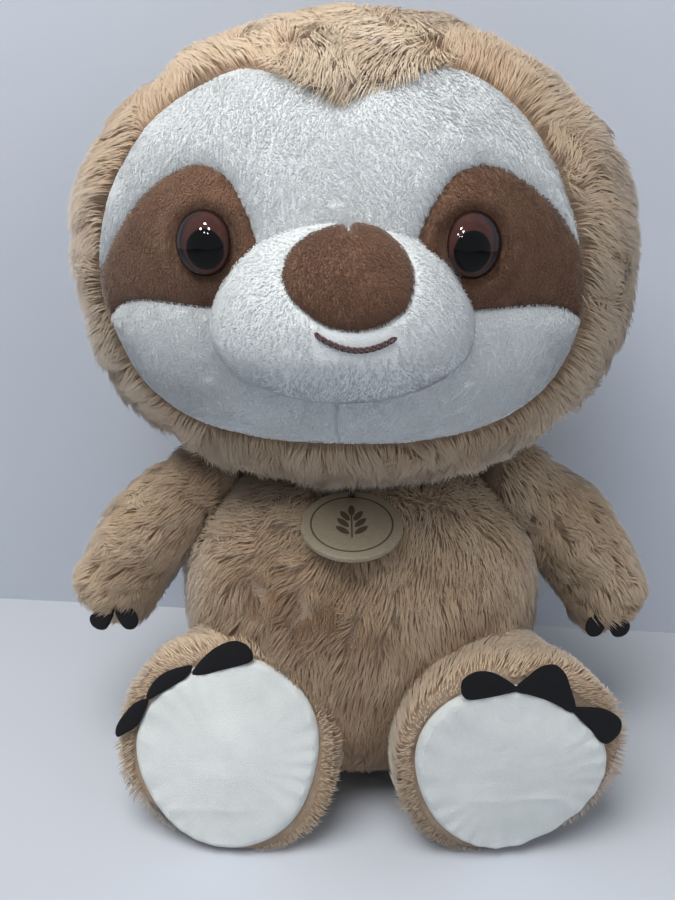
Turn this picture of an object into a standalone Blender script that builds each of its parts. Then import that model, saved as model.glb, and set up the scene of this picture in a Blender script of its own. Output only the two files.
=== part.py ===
# A plush sloth that sits: sewn fabric skins over lumps of stuffing, a face of sewn panels,
# safety eyes with their washers, felt claws and a round tag on a thread loop.
# Metres, +Z up. The face looks along -Y. The origin is on the floor, under the middle of the seat.
# Left and right are as the viewer in front sees them.

import bmesh
import bpy
from math import acos, atan2, cos, hypot, pi, radians, sin, sqrt, tan
from mathutils import Vector

# Clearances and skins
seam_gap = 0.0003  # between pieces that are sewn or pressed together
plush = 0.004  # backing of the fabric and the roots of its pile
felt = 0.0024
flat_cut = 0.0005  # how deep the floor presses the seat and the heels flat
crease = radians(40)  # edges sharper than this aren't shaded smooth
overrun = 0.020  # how far cutters reach past what they cut

# Head, an egg on its side
head_width = 0.237
head_depth = 0.172
head_rise = 0.093  # over and under its widest level
head_fall = 0.098
chin_power_share = 2.3  # fullness of the lower profile, where 2 is an ellipse
chin_under_neck = 0.005  # the head's lowest point, under the point that it turns on
head_aside = -0.006  # the head is sewn on a little to one side
head_turn = radians(-4.5)
neck_rise = 0.006  # its turning point, over the body's top
neck_radius = 0.036

# Body, a pear that is widest at the belly
body_width = 0.172
body_depth = 0.152
belly_height = 0.062
body_rise = 0.086  # from the belly's widest level to the top
body_power_share = 3.2
seat_power_share = 2.5

# Muzzle, nose and mouth
muzzle_width = 0.096
muzzle_depth = 0.076
muzzle_rise = 0.041  # over and under its widest level
muzzle_fall = 0.025
muzzle_sunk = 0.012  # its middle, behind the head's front
muzzle_drop = 0.019
muzzle_aside = 0.002
muzzle_turn = radians(6)
nose_width = 0.043
nose_height = 0.030
nose_lift = 0.008  # its lower edge, over the muzzle's widest level
nose_back = 0.016  # from the muzzle's middle forward to the nose's back edge
mouth_width = 0.025
mouth_aside = 0.002
mouth_lift = 0.007  # ends of the smile, over the muzzle's widest level
mouth_sag = 0.005
mouth_thread = 0.0011

# Safety eyes
eye_diameter = 0.023
eye_bulge = 0.008
eye_rim = 0.002
eye_side = 0.0457
eye_rise = 0.012
eye_turn = radians(31)
eye_upturn = radians(5)
shank_diameter = 0.0045
shank_length = 0.013
washer_diameter = 0.016
washer_thickness = 0.0016

# Arms, from the shoulder's turning point to the middle of the hand
shoulder_inset = 0.012  # its turning point, in from the body's side
shoulder_drop = 0.009  # and down from its top
shoulder_radius = 0.0165
hand_out = 0.0475  # from the shoulder's turning point
hand_forward = 0.009
hand_fall = 0.051
hand_slack = 0.004  # how much lower the right hand hangs
hand_radius = 0.0175
arm_swell = 0.002
arm_bow = 0.005  # how far its middle bends outwards
arm_opening = 0.009  # radius of the arm's open end
arm_lift = radians(40)

# Legs, from the middle of the hip to the sole. They splay about the seam at the body's side.
hip_inset = 0.032  # its middle, in from the body's side
hip_seam_inset = 0.008
hip_forward = 0.034
hip_radius = 0.039
leg_radius = 0.0425
leg_edge = 0.007  # length of the rounded edge behind the sole
leg_lip = 0.002  # how far the leg's edge stands out past the sole
foot_out = 0.007  # from the middle of the hip
heel_forward = 0.094
heel_lift = 0.003
sole_width = 0.082
sole_length = 0.084
sole_thickness = 0.0035
sole_crown = 0.003
toe_share = 0.10  # how much wider the toes are than the middle

# Each foot: its side, the roll of its toes and how far the sole leans back
feet = {"left": (-1, radians(37), radians(20)), "right": (1, radians(-22), radians(4))}

# Felt claws
foot_claw_width = 0.024
foot_claw_length = 0.010
foot_claw_spread = radians(34)
hand_claw_width = 0.012
hand_claw_length = 0.008
hand_claw_root = 0.009  # how deep a claw is sewn into the hand
hand_claw_apart = 0.013
hand_claw_fan = radians(9)

# Hang tag
tag_diameter = 0.043
tag_thickness = 0.0024
tag_lean = radians(74)  # how far its face looks up
tag_sewn = radians(-8.8)  # where the loop is sewn, above the middle of the neck's front
tag_hole = 0.0030
tag_hole_inset = 0.0024  # middle of the hole, from the rim
loop_thread = 0.0009

# The face's outlines seen from the front, from the middle to one side, in shares of half the head
mask_shares = [
    (0, 0.645), (0.11, 0.69), (0.22, 0.74), (0.31, 0.755), (0.40, 0.72), (0.50, 0.66), (0.60, 0.57),
    (0.68, 0.45), (0.76, 0.27), (0.80, 0.08), (0.82, -0.09), (0.80, -0.22), (0.765, -0.35),
    (0.69, -0.52), (0.54, -0.64), (0.37, -0.70), (0.18, -0.725), (0, -0.73),
]
patch_shares = [
    (0.43, 0.41), (0.50, 0.385), (0.585, 0.32), (0.66, 0.235), (0.73, 0.125), (0.80, 0), (0.90, -0.10),
    (0.90, -0.28), (0.80, -0.22), (0.715, -0.14), (0.62, -0.11), (0.52, -0.11), (0.38, -0.115),
    (0.22, -0.10), (0.22, 0.06), (0.245, 0.18), (0.28, 0.28), (0.33, 0.37), (0.38, 0.40),
]
cheek_shares = [
    (0, -0.10), (0.22, -0.10), (0.38, -0.115), (0.52, -0.11), (0.62, -0.11), (0.715, -0.14),
    (0.80, -0.22), (0.90, -0.28), (0.98, -0.34), (0.98, -0.98), (0, -0.98),
]
# The nose's outline, in shares of half its width and of its height
nose_shares = [
    (0, 0), (0.42, 0.03), (0.74, 0.16), (0.94, 0.38), (1, 0.62), (0.93, 0.86), (0.70, 1.06),
    (0.36, 1.16), (0, 1.20),
]

# Stations from the hip to the leg's rounded edge: share of the way, of the lip and of the sole's outline
leg_shares = [(0.4, 0, 0), (0.75, 1, 0.5), (1, 1, 1)]

# Facets
head_around, head_levels = 28, 16
body_around, body_levels = 24, 14
muzzle_around, muzzle_levels = 18, 9
inner_around, inner_levels = 10, 6
ball_around, ball_levels = 14, 7
limb_around, limb_inner_around, limb_levels = 16, 8, 3
eye_around = 16
tag_around = 28
claw_steps = 10
lift_steps = 4


def material(name, colour, roughness, metallic=0.0):
    made = bpy.data.materials.new(name)
    made.use_nodes = True
    shader = made.node_tree.nodes["Principled BSDF"]
    shader.inputs["Base Color"].default_value = (*colour, 1)
    shader.inputs["Roughness"].default_value = roughness
    shader.inputs["Metallic"].default_value = metallic
    return made


def empty(name, place, parent=None, turn=(0, 0, 0)):
    made = bpy.data.objects.new(name, None)
    bpy.context.collection.objects.link(made)
    made.parent = parent
    made.location = place
    made.rotation_euler = turn
    return made


def add(name, skin, finish, parent=None, place=(0, 0, 0), turn=(0, 0, 0)):
    mesh = bpy.data.meshes.new(name)
    mesh.from_pydata(skin[0], [], skin[1])
    shape = bmesh.new()
    shape.from_mesh(mesh)
    bmesh.ops.recalc_face_normals(shape, faces=shape.faces)
    shape.to_mesh(mesh)
    shape.free()
    mesh.shade_smooth()
    mesh.set_sharp_from_angle(angle=crease)
    if finish:
        mesh.materials.append(finish)
    made = bpy.data.objects.new(name, mesh)
    bpy.context.collection.objects.link(made)
    made.parent = parent
    made.location = place
    made.rotation_euler = turn
    return made


# A cutter is left out of the part
def tool(name, skin, parent=None, place=(0, 0, 0), turn=(0, 0, 0)):
    made = add(name, skin, None, parent, place, turn)
    made.hide_render = True
    made.display_type = "WIRE"
    return made


def cut(target, *tools, keep=False):
    for cutter in tools:
        step = target.modifiers.new(cutter.name, "BOOLEAN")
        step.operation = "INTERSECT" if keep else "DIFFERENCE"
        step.object = cutter
        step.solver = "EXACT"


# Rings of points sewn into one skin, closed by a point at each end or by meeting itself
def sew(rings, start=None, end=None):
    around, count = len(rings[0]), len(rings)
    points = [p for ring in rings for p in ring]
    faces = []
    for a in range(count if start is None else count - 1):
        b = (a + 1) % count
        for i in range(around):
            j = (i + 1) % around
            faces.append((a * around + i, a * around + j, b * around + j))
            faces.append((a * around + i, b * around + j, b * around + i))
    if start is not None:
        points += [start, end]
        tip = count * around
        for i in range(around):
            j = (i + 1) % around
            faces.append((tip, j, i))
            faces.append((tip + 1, tip - around + i, tip - around + j))
    return points, faces


def turns(around):
    return [2 * pi * i / around for i in range(around)]


def circle(radius, height, around):
    return [(radius * cos(t), radius * sin(t), height) for t in turns(around)]


# A turned piece along Z, from (radius, height) stations between its two ends
def turned(stations, around):
    rings = [circle(radius, height, around) for radius, height in stations]
    return sew(rings, (0, 0, stations[0][1]), (0, 0, stations[-1][1]))


# The radius whose faceted ball stays outside a true ball
def around_ball(radius):
    return radius / (cos(pi / ball_around) * cos(pi / 2 / ball_levels))


def ball(radius, levels=ball_levels):
    slopes = [pi * (k / levels - 1 / 2) for k in range(1, levels)]
    rings = [circle(radius * cos(s), radius * sin(s), ball_around) for s in slopes]
    return sew(rings, (0, 0, -radius), (0, 0, radius))


# A form has an elliptical plan and its own profile over and under its widest level:
# half width, half depth, rise, fall and the power of each profile. Inset makes it smaller all round.
head_form = (head_width / 2, head_depth / 2, head_rise, head_fall, 2, chin_power_share)
muzzle_form = (muzzle_width / 2, muzzle_depth / 2, muzzle_rise, muzzle_fall, 2, 2)
body_form = (
    body_width / 2, body_depth / 2, body_rise, belly_height + flat_cut, body_power_share, seat_power_share,
)
body_top = belly_height + body_rise


def swollen(form, inset, around, levels):
    wide, deep, rise, fall, power_up, power_down = form
    rings = []
    for k in range(1, levels):
        slope = pi * (k / levels - 1 / 2)
        power = power_up if slope > 0 else power_down
        reach = cos(slope) ** (2 / power)
        climb = abs(sin(slope)) ** (2 / power)
        height = climb * (rise - inset) if slope > 0 else climb * (inset - fall)
        rings.append([
            ((wide - inset) * reach * cos(t), (deep - inset) * reach * sin(t), height)
            for t in turns(around)
        ])
    return sew(rings, (0, 0, inset - fall), (0, 0, rise - inset))


# The front of an egg form at a place seen from the front, and the way it faces there
def front_of(form, side, rise):
    wide, deep = form[:2]
    high = form[2] if rise > 0 else form[3]
    front = -deep * sqrt(1 - (side / wide) ** 2 - (rise / high) ** 2)
    facing = Vector((side / wide**2, front / deep**2, rise / high**2)).normalized()
    return front, facing


# An outline moved outwards by a distance, which keeps its shape
def grown(outline, distance):
    count = len(outline)
    area = sum(
        outline[i][0] * outline[(i + 1) % count][1] - outline[(i + 1) % count][0] * outline[i][1]
        for i in range(count)
    )
    hand = 1 if area > 0 else -1
    moved = []
    for i, (x, z) in enumerate(outline):
        before = Vector((x, z)) - Vector(outline[i - 1])
        after = Vector(outline[(i + 1) % count]) - Vector((x, z))
        a = Vector((before.y, -before.x)).normalized() * hand
        b = Vector((after.y, -after.x)).normalized() * hand
        out = (a + b) / (1 + a.dot(b))
        moved.append((x + out.x * distance, z + out.y * distance))
    return moved


# An outline seen from the front, made solid from one depth to another
def slab(outline, front, back):
    return sew_prism([(x, front, z) for x, z in outline], [(x, back, z) for x, z in outline])


def sew_prism(lower, upper):
    count = len(lower)
    faces = [(i, (i + 1) % count, count + (i + 1) % count, count + i) for i in range(count)]
    faces += [tuple(range(count))[::-1], tuple(range(count, 2 * count))]
    return lower + upper, faces


def both_sides(shares, width, height):
    right = [(x * width, z * height) for x, z in shares]
    return right + [(-x, z) for x, z in right[-2:0:-1]]


def one_side(shares, width, height, side):
    return [(side * x * width, z * height) for x, z in shares]


# A felt claw: a flat half oval that stands on the origin and points along Y
def claw(width, length, thickness):
    steps = [pi * k / claw_steps for k in range(claw_steps + 1)]
    outline = [(width / 2 * cos(a), length * sin(a)) for a in steps]
    return sew_prism([(x, y, 0) for x, y in outline], [(x, y, thickness) for x, y in outline])


for old in list(bpy.data.objects):
    bpy.data.objects.remove(old)

tan_plush = material("tan_plush", (0.56, 0.44, 0.33), 0.95)
white_plush = material("white_plush", (0.74, 0.77, 0.78), 0.9)
brown_plush = material("brown_plush", (0.17, 0.085, 0.05), 0.9)
sole_velour = material("sole_velour", (0.78, 0.79, 0.78), 0.85)
fibre_fill = material("fibre_fill", (0.85, 0.85, 0.83), 1.0)
black_felt = material("black_felt", (0.012, 0.012, 0.015), 0.95)
eye_plastic = material("eye_plastic", (0.035, 0.012, 0.01), 0.08)
washer_plastic = material("washer_plastic", (0.8, 0.8, 0.78), 0.4)
mouth_yarn = material("mouth_yarn", (0.09, 0.012, 0.02), 0.85)
tag_wood = material("tag_wood", (0.33, 0.29, 0.2), 0.6)
loop_cord = material("loop_cord", (0.04, 0.02, 0.06), 0.8)

# Turning points
neck = empty("neck", (head_aside, 0, body_top + neck_rise))
head = empty("head", (0, 0, head_fall - chin_under_neck), neck, (0, 0, head_turn))
torso = empty("torso", (0, 0, belly_height))

# Neck: the plug of stuffing that the head and the body are sewn round. It is turned half a facet,
# with a level more, so its corners meet the flats of its room.
neck_room = tool("neck_room", ball(around_ball(neck_radius + seam_gap)), neck)
add(
    "neck_stuffing", ball(neck_radius, ball_levels + 1), fibre_fill, neck, turn=(0, 0, pi / ball_around)
)

# Body
floor_size = body_width + overrun
floor_slab = tool(
    "floor_slab",
    slab([(-floor_size, -overrun), (floor_size, -overrun), (floor_size, 0), (-floor_size, 0)],
         -floor_size, floor_size),
)
body_space = tool("body_space", swollen(body_form, plush, inner_around, inner_levels), torso)
body_shell = add("body_shell", swollen(body_form, 0, body_around, body_levels), tan_plush, torso)
body_stuffing = add(
    "body_stuffing", swollen(body_form, plush + seam_gap, inner_around, inner_levels), fibre_fill, torso
)
cut(body_shell, body_space, neck_room, floor_slab)
cut(body_stuffing, neck_room)

# Head: a hood of fur round a mask of sewn panels
head_space = tool("head_space", swollen(head_form, plush, inner_around, inner_levels), head)
muzzle_place = (muzzle_aside, muzzle_sunk - head_depth / 2, -muzzle_drop)
muzzle = empty("muzzle", muzzle_place, head, (0, 0, muzzle_turn))
muzzle_room = tool("muzzle_room", swollen(muzzle_form, -seam_gap, muzzle_around, muzzle_levels), muzzle)
head_stuffing = add(
    "head_stuffing", swollen(head_form, plush + seam_gap, inner_around, inner_levels), fibre_fill, head
)
cut(head_stuffing, neck_room)


def head_tool(name, outline, back=0.0):
    return tool(name, slab(outline, -head_depth, back), head)


def face_panel(name, finish, kept, *removed):
    panel = add(name, swollen(head_form, 0, head_around, head_levels), finish, head)
    cut(panel, head_space)
    cut(panel, *kept, keep=True)
    cut(panel, *removed)
    return panel


half_wide, half_high = head_width / 2, head_rise
half_gap = seam_gap / 2
mask = both_sides(mask_shares, half_wide, half_high)
mask_inside = head_tool("mask_inside", grown(mask, -half_gap))
mask_outside = head_tool("mask_outside", grown(mask, half_gap))
cheeks = both_sides(cheek_shares, half_wide, half_high)
cheeks_outside = head_tool("cheeks_outside", grown(cheeks, half_gap))
# The flats inside the skin lie this much deeper than its true inner surface
inner_flats = half_wide * (1 - cos(pi / inner_around)) + half_high * (1 - cos(pi / 2 / inner_levels))
patch_tools = []

face_panel("head_hood", tan_plush, (), mask_outside, neck_room)

for label, side in (("left", -1), ("right", 1)):
    patch = one_side(patch_shares, half_wide, half_high, side)
    patch_inside = head_tool(f"patch_inside_{label}", grown(patch, -half_gap))
    patch_outside = head_tool(f"patch_outside_{label}", grown(patch, half_gap))
    patch_tools.append(patch_outside)
    cheek = one_side(cheek_shares, half_wide, half_high, side)
    cheek_inside = head_tool(f"cheek_inside_{label}", grown(cheek, -half_gap))
    face_panel(f"cheek_panel_{label}", white_plush, (mask_inside, cheek_inside), muzzle_room)

    # The eye's shank goes through the patch, and its washer locks it from inside
    front, facing = front_of(head_form, side * eye_side, eye_rise)
    turn = (pi / 2 - eye_upturn, 0, side * eye_turn)
    seat = empty(f"eye_seat_{label}", (side * eye_side, front, eye_rise), head, turn)
    axis = Vector((side * sin(eye_turn) * cos(eye_upturn), -cos(eye_turn) * cos(eye_upturn), sin(eye_upturn)))
    tilt = acos(axis.dot(facing))
    eye_radius, shank, washer = eye_diameter / 2, shank_diameter / 2, washer_diameter / 2
    washer_depth = (plush + inner_flats) / cos(tilt) + washer * tan(tilt) + seam_gap
    dome = [(eye_radius * cos(a), eye_rim + eye_bulge * sin(a)) for a in [pi / 2 * k / 6 for k in range(6)]]
    eye_profile = [(shank, -shank_length), (shank, 0), (eye_radius, 0), *dome]
    eye_skin = [circle(radius, height, eye_around) for radius, height in eye_profile]
    add(
        f"eye_{label}",
        sew(eye_skin, (0, 0, -shank_length), (0, 0, eye_rim + eye_bulge)),
        eye_plastic, seat,
    )
    wide, narrow = eye_radius + seam_gap, shank + seam_gap
    eye_room = tool(
        f"eye_room_{label}",
        turned([(narrow, -overrun), (narrow, -seam_gap), (wide, -seam_gap), (wide, overrun)], eye_around),
        seat,
    )
    face_panel(f"eye_patch_{label}", brown_plush, (mask_inside, patch_inside), muzzle_room, eye_room)
    washer_back = -washer_depth - washer_thickness
    washer_ring = [
        circle(radius, height, eye_around)
        for radius, height in (
            (washer, -washer_depth), (washer, washer_back), (narrow, washer_back), (narrow, -washer_depth),
        )
    ]
    add(f"eye_washer_{label}", sew(washer_ring), washer_plastic, seat)
    washer_wide = washer + seam_gap
    washer_room = tool(
        f"washer_room_{label}",
        turned(
            [
                (narrow, -shank_length - seam_gap), (narrow, washer_back - seam_gap),
                (washer_wide, washer_back - seam_gap), (washer_wide, overrun),
            ],
            eye_around,
        ),
        seat,
    )
    cut(head_stuffing, washer_room)

face_panel("forehead_panel", white_plush, (mask_inside,), cheeks_outside, *patch_tools, muzzle_room)

# Muzzle: a cup of white plush with the nose let into its top, over its own stuffing
muzzle_space = tool("muzzle_space", swollen(muzzle_form, plush, inner_around, inner_levels), muzzle)
nose = [(x, z + nose_lift) for x, z in both_sides(nose_shares, nose_width / 2, nose_height)]
muzzle_front = -muzzle_depth / 2 - overrun
nose_inside = tool("nose_inside", slab(grown(nose, -half_gap), muzzle_front, -nose_back - half_gap), muzzle)
nose_outside = tool("nose_outside", slab(grown(nose, half_gap), muzzle_front, half_gap - nose_back), muzzle)
for name, finish, tool_used, keep in (
    ("muzzle_panel", white_plush, nose_outside, False),
    ("nose_patch", brown_plush, nose_inside, True),
):
    piece = add(name, swollen(muzzle_form, 0, muzzle_around, muzzle_levels), finish, muzzle)
    cut(piece, muzzle_space, head_space)
    cut(piece, tool_used, keep=keep)
muzzle_stuffing = add(
    "muzzle_stuffing",
    swollen(muzzle_form, plush + seam_gap, inner_around, inner_levels),
    fibre_fill, muzzle,
)
cut(muzzle_stuffing, head_space)

# The smile: one thick thread along an arc of the muzzle
mouth_steps = 10
mouth_curve = bpy.data.curves.new("mouth_stitching", "CURVE")
mouth_curve.dimensions = "3D"
mouth_curve.bevel_depth = mouth_thread
mouth_curve.bevel_resolution = 1
mouth_curve.use_fill_caps = True
mouth_line = mouth_curve.splines.new("POLY")
mouth_line.points.add(mouth_steps)
for k, point in enumerate(mouth_line.points):
    along = 2 * k / mouth_steps - 1
    side = mouth_aside + along * mouth_width / 2
    rise = mouth_lift - mouth_sag * (1 - along**2)
    front, facing = front_of(muzzle_form, side, rise)
    place = Vector((side, front, rise)) + facing * (mouth_thread + seam_gap)
    point.co = (*place, 1)
mouth_curve.materials.append(mouth_yarn)
mouth = bpy.data.objects.new("mouth_stitching", mouth_curve)
bpy.context.collection.objects.link(mouth)
mouth.parent = muzzle


# The body with the seam's gap round it, turned back about a joint as the limb on it sees it
def body_beside(name, joint, turn=(0, 0, 0)):
    seen = empty(f"{name}_seen", joint, turn=turn)
    skin = swollen(body_form, -seam_gap, body_around, body_levels)
    return tool(f"{name}_beside", skin, seen, torso.location - Vector(joint))


# An arm hangs along -Z from its shoulder and bows to one side. The shoulder's end is half a ball.
def arm_rings(length, bow, inset, around):
    ends = [pi / 2 * k / limb_levels for k in range(1, limb_levels + 1)]
    stations = [((shoulder_radius - inset) * sin(a), (shoulder_radius - inset) * cos(a), 0) for a in ends]
    for k in range(1, limb_levels):
        along = k / limb_levels
        radius = shoulder_radius + (hand_radius - shoulder_radius) * along + arm_swell * sin(pi * along)
        stations.append((radius - inset, -along * length, bow * sin(pi * along)))
    for a in ends[::-1]:
        stations.append(((hand_radius - inset) * sin(a), -length - (hand_radius - inset) * cos(a), 0))
    return [
        [(x + offset, y, z) for x, y, z in circle(radius, height, around)]
        for radius, height, offset in stations
    ]


def arm_skin(length, bow, inset, around):
    top, bottom = shoulder_radius - inset, -length - hand_radius + inset
    return sew(arm_rings(length, bow, inset, around), (0, 0, top), (0, 0, bottom))


def claw_name(limb, label, number):
    return f"{limb}_claw_{label}_{('inner', 'middle', 'outer')[number]}"


for label, side, slack in (("left", -1, 0), ("right", 1, hand_slack)):
    joint = (side * (body_width / 2 - shoulder_inset), 0, body_top - shoulder_drop)
    shoulder = empty(f"shoulder_{label}", joint)
    reach = Vector((side * hand_out, -hand_forward, -hand_fall - slack))
    hang = Vector((0, 0, -1)).rotation_difference(reach).to_euler()
    length, bow = reach.length, side * arm_bow
    beside = [
        body_beside(f"shoulder_{label}_{k}", joint, (0, side * arm_lift * k / lift_steps, 0))
        for k in range(lift_steps + 1)
    ]
    arm = add(f"arm_shell_{label}", arm_skin(length, bow, 0, limb_around), tan_plush, shoulder, turn=hang)
    arm_space = tool(
        f"arm_space_{label}", arm_skin(length, bow, plush, limb_inner_around), shoulder, turn=hang
    )
    arm_mouth = tool(
        f"arm_mouth_{label}", turned([(arm_opening, 0), (arm_opening, overrun)], limb_inner_around),
        shoulder, turn=(0, -side * pi / 2, 0),
    )
    cut(arm, arm_space, arm_mouth, *beside)
    stuffing = add(
        f"arm_stuffing_{label}", arm_skin(length, bow, plush + seam_gap, limb_inner_around),
        fibre_fill, shoulder, turn=hang,
    )
    cut(stuffing, *beside)

    # Two felt claws hang from the seam under the hand
    arm_around = tool(
        f"arm_around_{label}", arm_skin(length, bow, -seam_gap, limb_around), shoulder, turn=hang
    )
    for number, offset in ((0, -1), (2, 1)):
        place = reach + Vector((side * offset * hand_claw_apart / 2, -felt / 2, hand_claw_root - hand_radius))
        piece = add(
            claw_name("hand", label, number),
            claw(hand_claw_width, hand_claw_root + hand_claw_length, felt),
            black_felt, shoulder, place, (-pi / 2, -side * offset * hand_claw_fan, 0),
        )
        cut(piece, arm_around)


# A leg points along -Y from its hip, and its rings lean back towards the sole, an egg whose wide
# end, the toes, is rolled outwards
def egg_reach(angle, roll, extra=0.0):
    a = (sole_width / 2) * (1 + toe_share * sin(angle - roll)) + extra
    b = sole_length / 2 + extra
    return a * b / hypot(b * cos(angle - roll), a * sin(angle - roll))


def egg(roll, extra, height, around):
    reaches = [(t, egg_reach(t, roll, extra)) for t in turns(around)]
    return [(r * cos(t), r * sin(t), height) for t, r in reaches]


# How far the sole's middle lies in front of the hip, and how much higher
def leg_run(roll, lean):
    lowest = max(-y for x, y, z in egg(roll, 0, 0, limb_around)) * cos(lean)
    forward = heel_forward - lowest * tan(lean) - hip_forward
    return forward, lowest + heel_lift - leg_radius + flat_cut


def leg_rings(roll, lean, inset, around, past=0.0):
    forward, climb = leg_run(roll, lean)
    radius, trunk = hip_radius - inset, leg_radius - inset
    rings = []
    for k in range(1, limb_levels + 1):
        a = pi / 2 * k / limb_levels
        rings.append([
            (radius * sin(a) * cos(t), radius * cos(a), radius * sin(a) * sin(t)) for t in turns(around)
        ])
    edge_share = 1 - leg_edge / forward
    stations = [(along * edge_share, lip * leg_lip, egg) for along, lip, egg in leg_shares] + [(1, 0, 1)]
    for along_share, lip, egg_share in stations:
        bend = lean * along_share
        ring = []
        for t in turns(around):
            reach = trunk * (1 - egg_share) + egg_reach(t, roll, lip - inset) * egg_share
            x, up = reach * cos(t), reach * sin(t)
            ring.append((x, up * sin(bend) - forward * along_share, up * cos(bend) + climb * egg_share))
        rings.append(ring)
    end = (0, -forward, climb)
    if past:
        shift = (0, -past * cos(lean), past * sin(lean))
        rings.append([tuple(c + s for c, s in zip(point, shift)) for point in rings[-1]])
        end = tuple(c + s for c, s in zip(end, shift))
    return sew(rings, (0, radius, 0), end)


for label, (side, roll, lean) in feet.items():
    hip_height = leg_radius - flat_cut
    hip_side = body_width / 2 - hip_inset
    out = atan2(side * foot_out, heel_forward - hip_forward)
    hip = empty(f"hip_{label}", (side * hip_side, -hip_forward, hip_height), turn=(0, 0, out))
    hip_seam = empty(f"hip_seam_{label}", (side * (body_width / 2 - hip_seam_inset), 0, hip_height))
    beside = body_beside(f"hip_{label}", hip_seam.location)
    leg = add(f"leg_shell_{label}", leg_rings(roll, lean, 0, limb_around), tan_plush, hip)
    leg_space = tool(
        f"leg_space_{label}", leg_rings(roll, lean, plush, limb_inner_around, overrun), hip
    )
    cut(leg, leg_space, beside, floor_slab)
    stuffing = add(
        f"leg_stuffing_{label}", leg_rings(roll, lean, plush + seam_gap, limb_inner_around), fibre_fill, hip
    )
    cut(stuffing, beside)

    # The sole closes the leg, and its claws are sewn in at the toes
    forward, climb = leg_run(roll, lean)
    sole_frame = empty(f"sole_frame_{label}", (0, -forward, climb), hip, (pi / 2 - lean, 0, 0))
    face, middle = seam_gap + sole_thickness, sole_width / 2
    sole_rings = [
        egg(roll, extra, height, limb_around)
        for extra, height in (
            (0, seam_gap),
            (0, face - sole_thickness / 3),
            (-sole_thickness, face),
            (-middle / 2, face + sole_crown * 3 / 4),
        )
    ]
    add(
        f"sole_{label}", sew(sole_rings, (0, 0, seam_gap), (0, 0, face + sole_crown)), sole_velour, sole_frame
    )
    for number in range(3):
        angle = pi / 2 + roll - side * (number - 1) * foot_claw_spread
        reach = egg_reach(angle, roll) + seam_gap
        add(
            claw_name("foot", label, number),
            claw(foot_claw_width, foot_claw_length, felt), black_felt, sole_frame,
            (reach * cos(angle), reach * sin(angle), seam_gap), (0, 0, angle - pi / 2),
        )

# The tag hangs from a thread loop that the neck seam holds, and leans out over the chest. The plug's
# flats lie just under its round surface, which is the loop's clearance.
loop_radius = tag_hole_inset
hold = neck_radius + loop_thread / 2
tag_pivot = empty(
    "tag_pivot", (0, -hold * cos(tag_sewn), hold * sin(tag_sewn)), neck, (pi / 2 - tag_lean, 0, 0)
)
tag_radius = tag_diameter / 2
tag_middle = -tag_radius - loop_radius
tag = add(
    "hang_tag", turned([(tag_radius, -tag_thickness / 2), (tag_radius, tag_thickness / 2)], tag_around),
    tag_wood, tag_pivot, (0, tag_middle, 0),
)
hole = tool(
    "tag_hole", turned([(tag_hole / 2, -overrun), (tag_hole / 2, overrun)], limb_inner_around),
    tag_pivot, (0, -loop_radius - tag_hole_inset, 0),
)
cut(tag, hole)
loop_rings = []
for t in turns(limb_around):
    loop_rings.append([
        (loop_thread / 2 * sin(u),
         (loop_radius + loop_thread / 2 * cos(u)) * cos(t) - loop_radius,
         (loop_radius + loop_thread / 2 * cos(u)) * sin(t))
        for u in turns(6)
    ])
add("tag_loop", sew(loop_rings), loop_cord, tag_pivot)

bpy.context.view_layer.update()
for name in ("neck", "shoulder_left", "shoulder_right", "hip_seam_left", "hip_seam_right", "tag_pivot"):
    print(name, [round(c, 5) for c in bpy.data.objects[name].matrix_world.translation])
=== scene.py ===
from math import atan2, cos, pi, radians, sin, sqrt, tan

import bpy
import numpy as np
from mathutils import Matrix, Vector


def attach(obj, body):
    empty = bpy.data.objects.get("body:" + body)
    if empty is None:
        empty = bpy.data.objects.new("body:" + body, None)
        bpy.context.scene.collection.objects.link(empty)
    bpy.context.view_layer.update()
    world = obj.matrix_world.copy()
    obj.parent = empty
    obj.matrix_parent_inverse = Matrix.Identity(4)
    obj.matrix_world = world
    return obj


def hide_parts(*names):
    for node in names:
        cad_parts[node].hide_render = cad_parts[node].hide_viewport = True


# A plush sloth that sits. Metres, +Z up, the face looks along -Y, and left and right are as seen from the front.
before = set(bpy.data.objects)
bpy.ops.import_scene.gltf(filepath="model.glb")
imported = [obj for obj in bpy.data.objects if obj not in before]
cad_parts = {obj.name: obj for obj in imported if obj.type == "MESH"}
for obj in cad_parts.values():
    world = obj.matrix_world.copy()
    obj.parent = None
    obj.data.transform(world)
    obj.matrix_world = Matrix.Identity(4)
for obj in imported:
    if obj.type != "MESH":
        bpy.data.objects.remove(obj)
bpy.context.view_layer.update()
print("frame loaded:", len(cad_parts), "nodes")

# Camera, at the photograph's angle
lookout = {"place": (-0.012, -0.365, 0.287), "tilt": 70, "lens": 32}
camera = bpy.data.objects.new("camera", bpy.data.cameras.new("camera"))
camera.data.lens, camera.data.clip_start = lookout["lens"], 0.01
camera.location = lookout["place"]
camera.rotation_euler = (radians(lookout["tilt"]), 0, 0)
bpy.context.collection.objects.link(camera)
bpy.context.scene.camera = camera
bpy.context.scene.view_settings.view_transform = "Standard"


# A colour written as a painter's red, green and blue from 0 to 255, as the light that it sends back
def paint(red, green, blue):
    shares = np.array((red, green, blue)) / 255
    light = np.where(shares < 0.04045, shares / 12.92, ((shares + 0.055) / 1.055) ** 2.4)
    return (*light.tolist(), 1.0)


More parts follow.
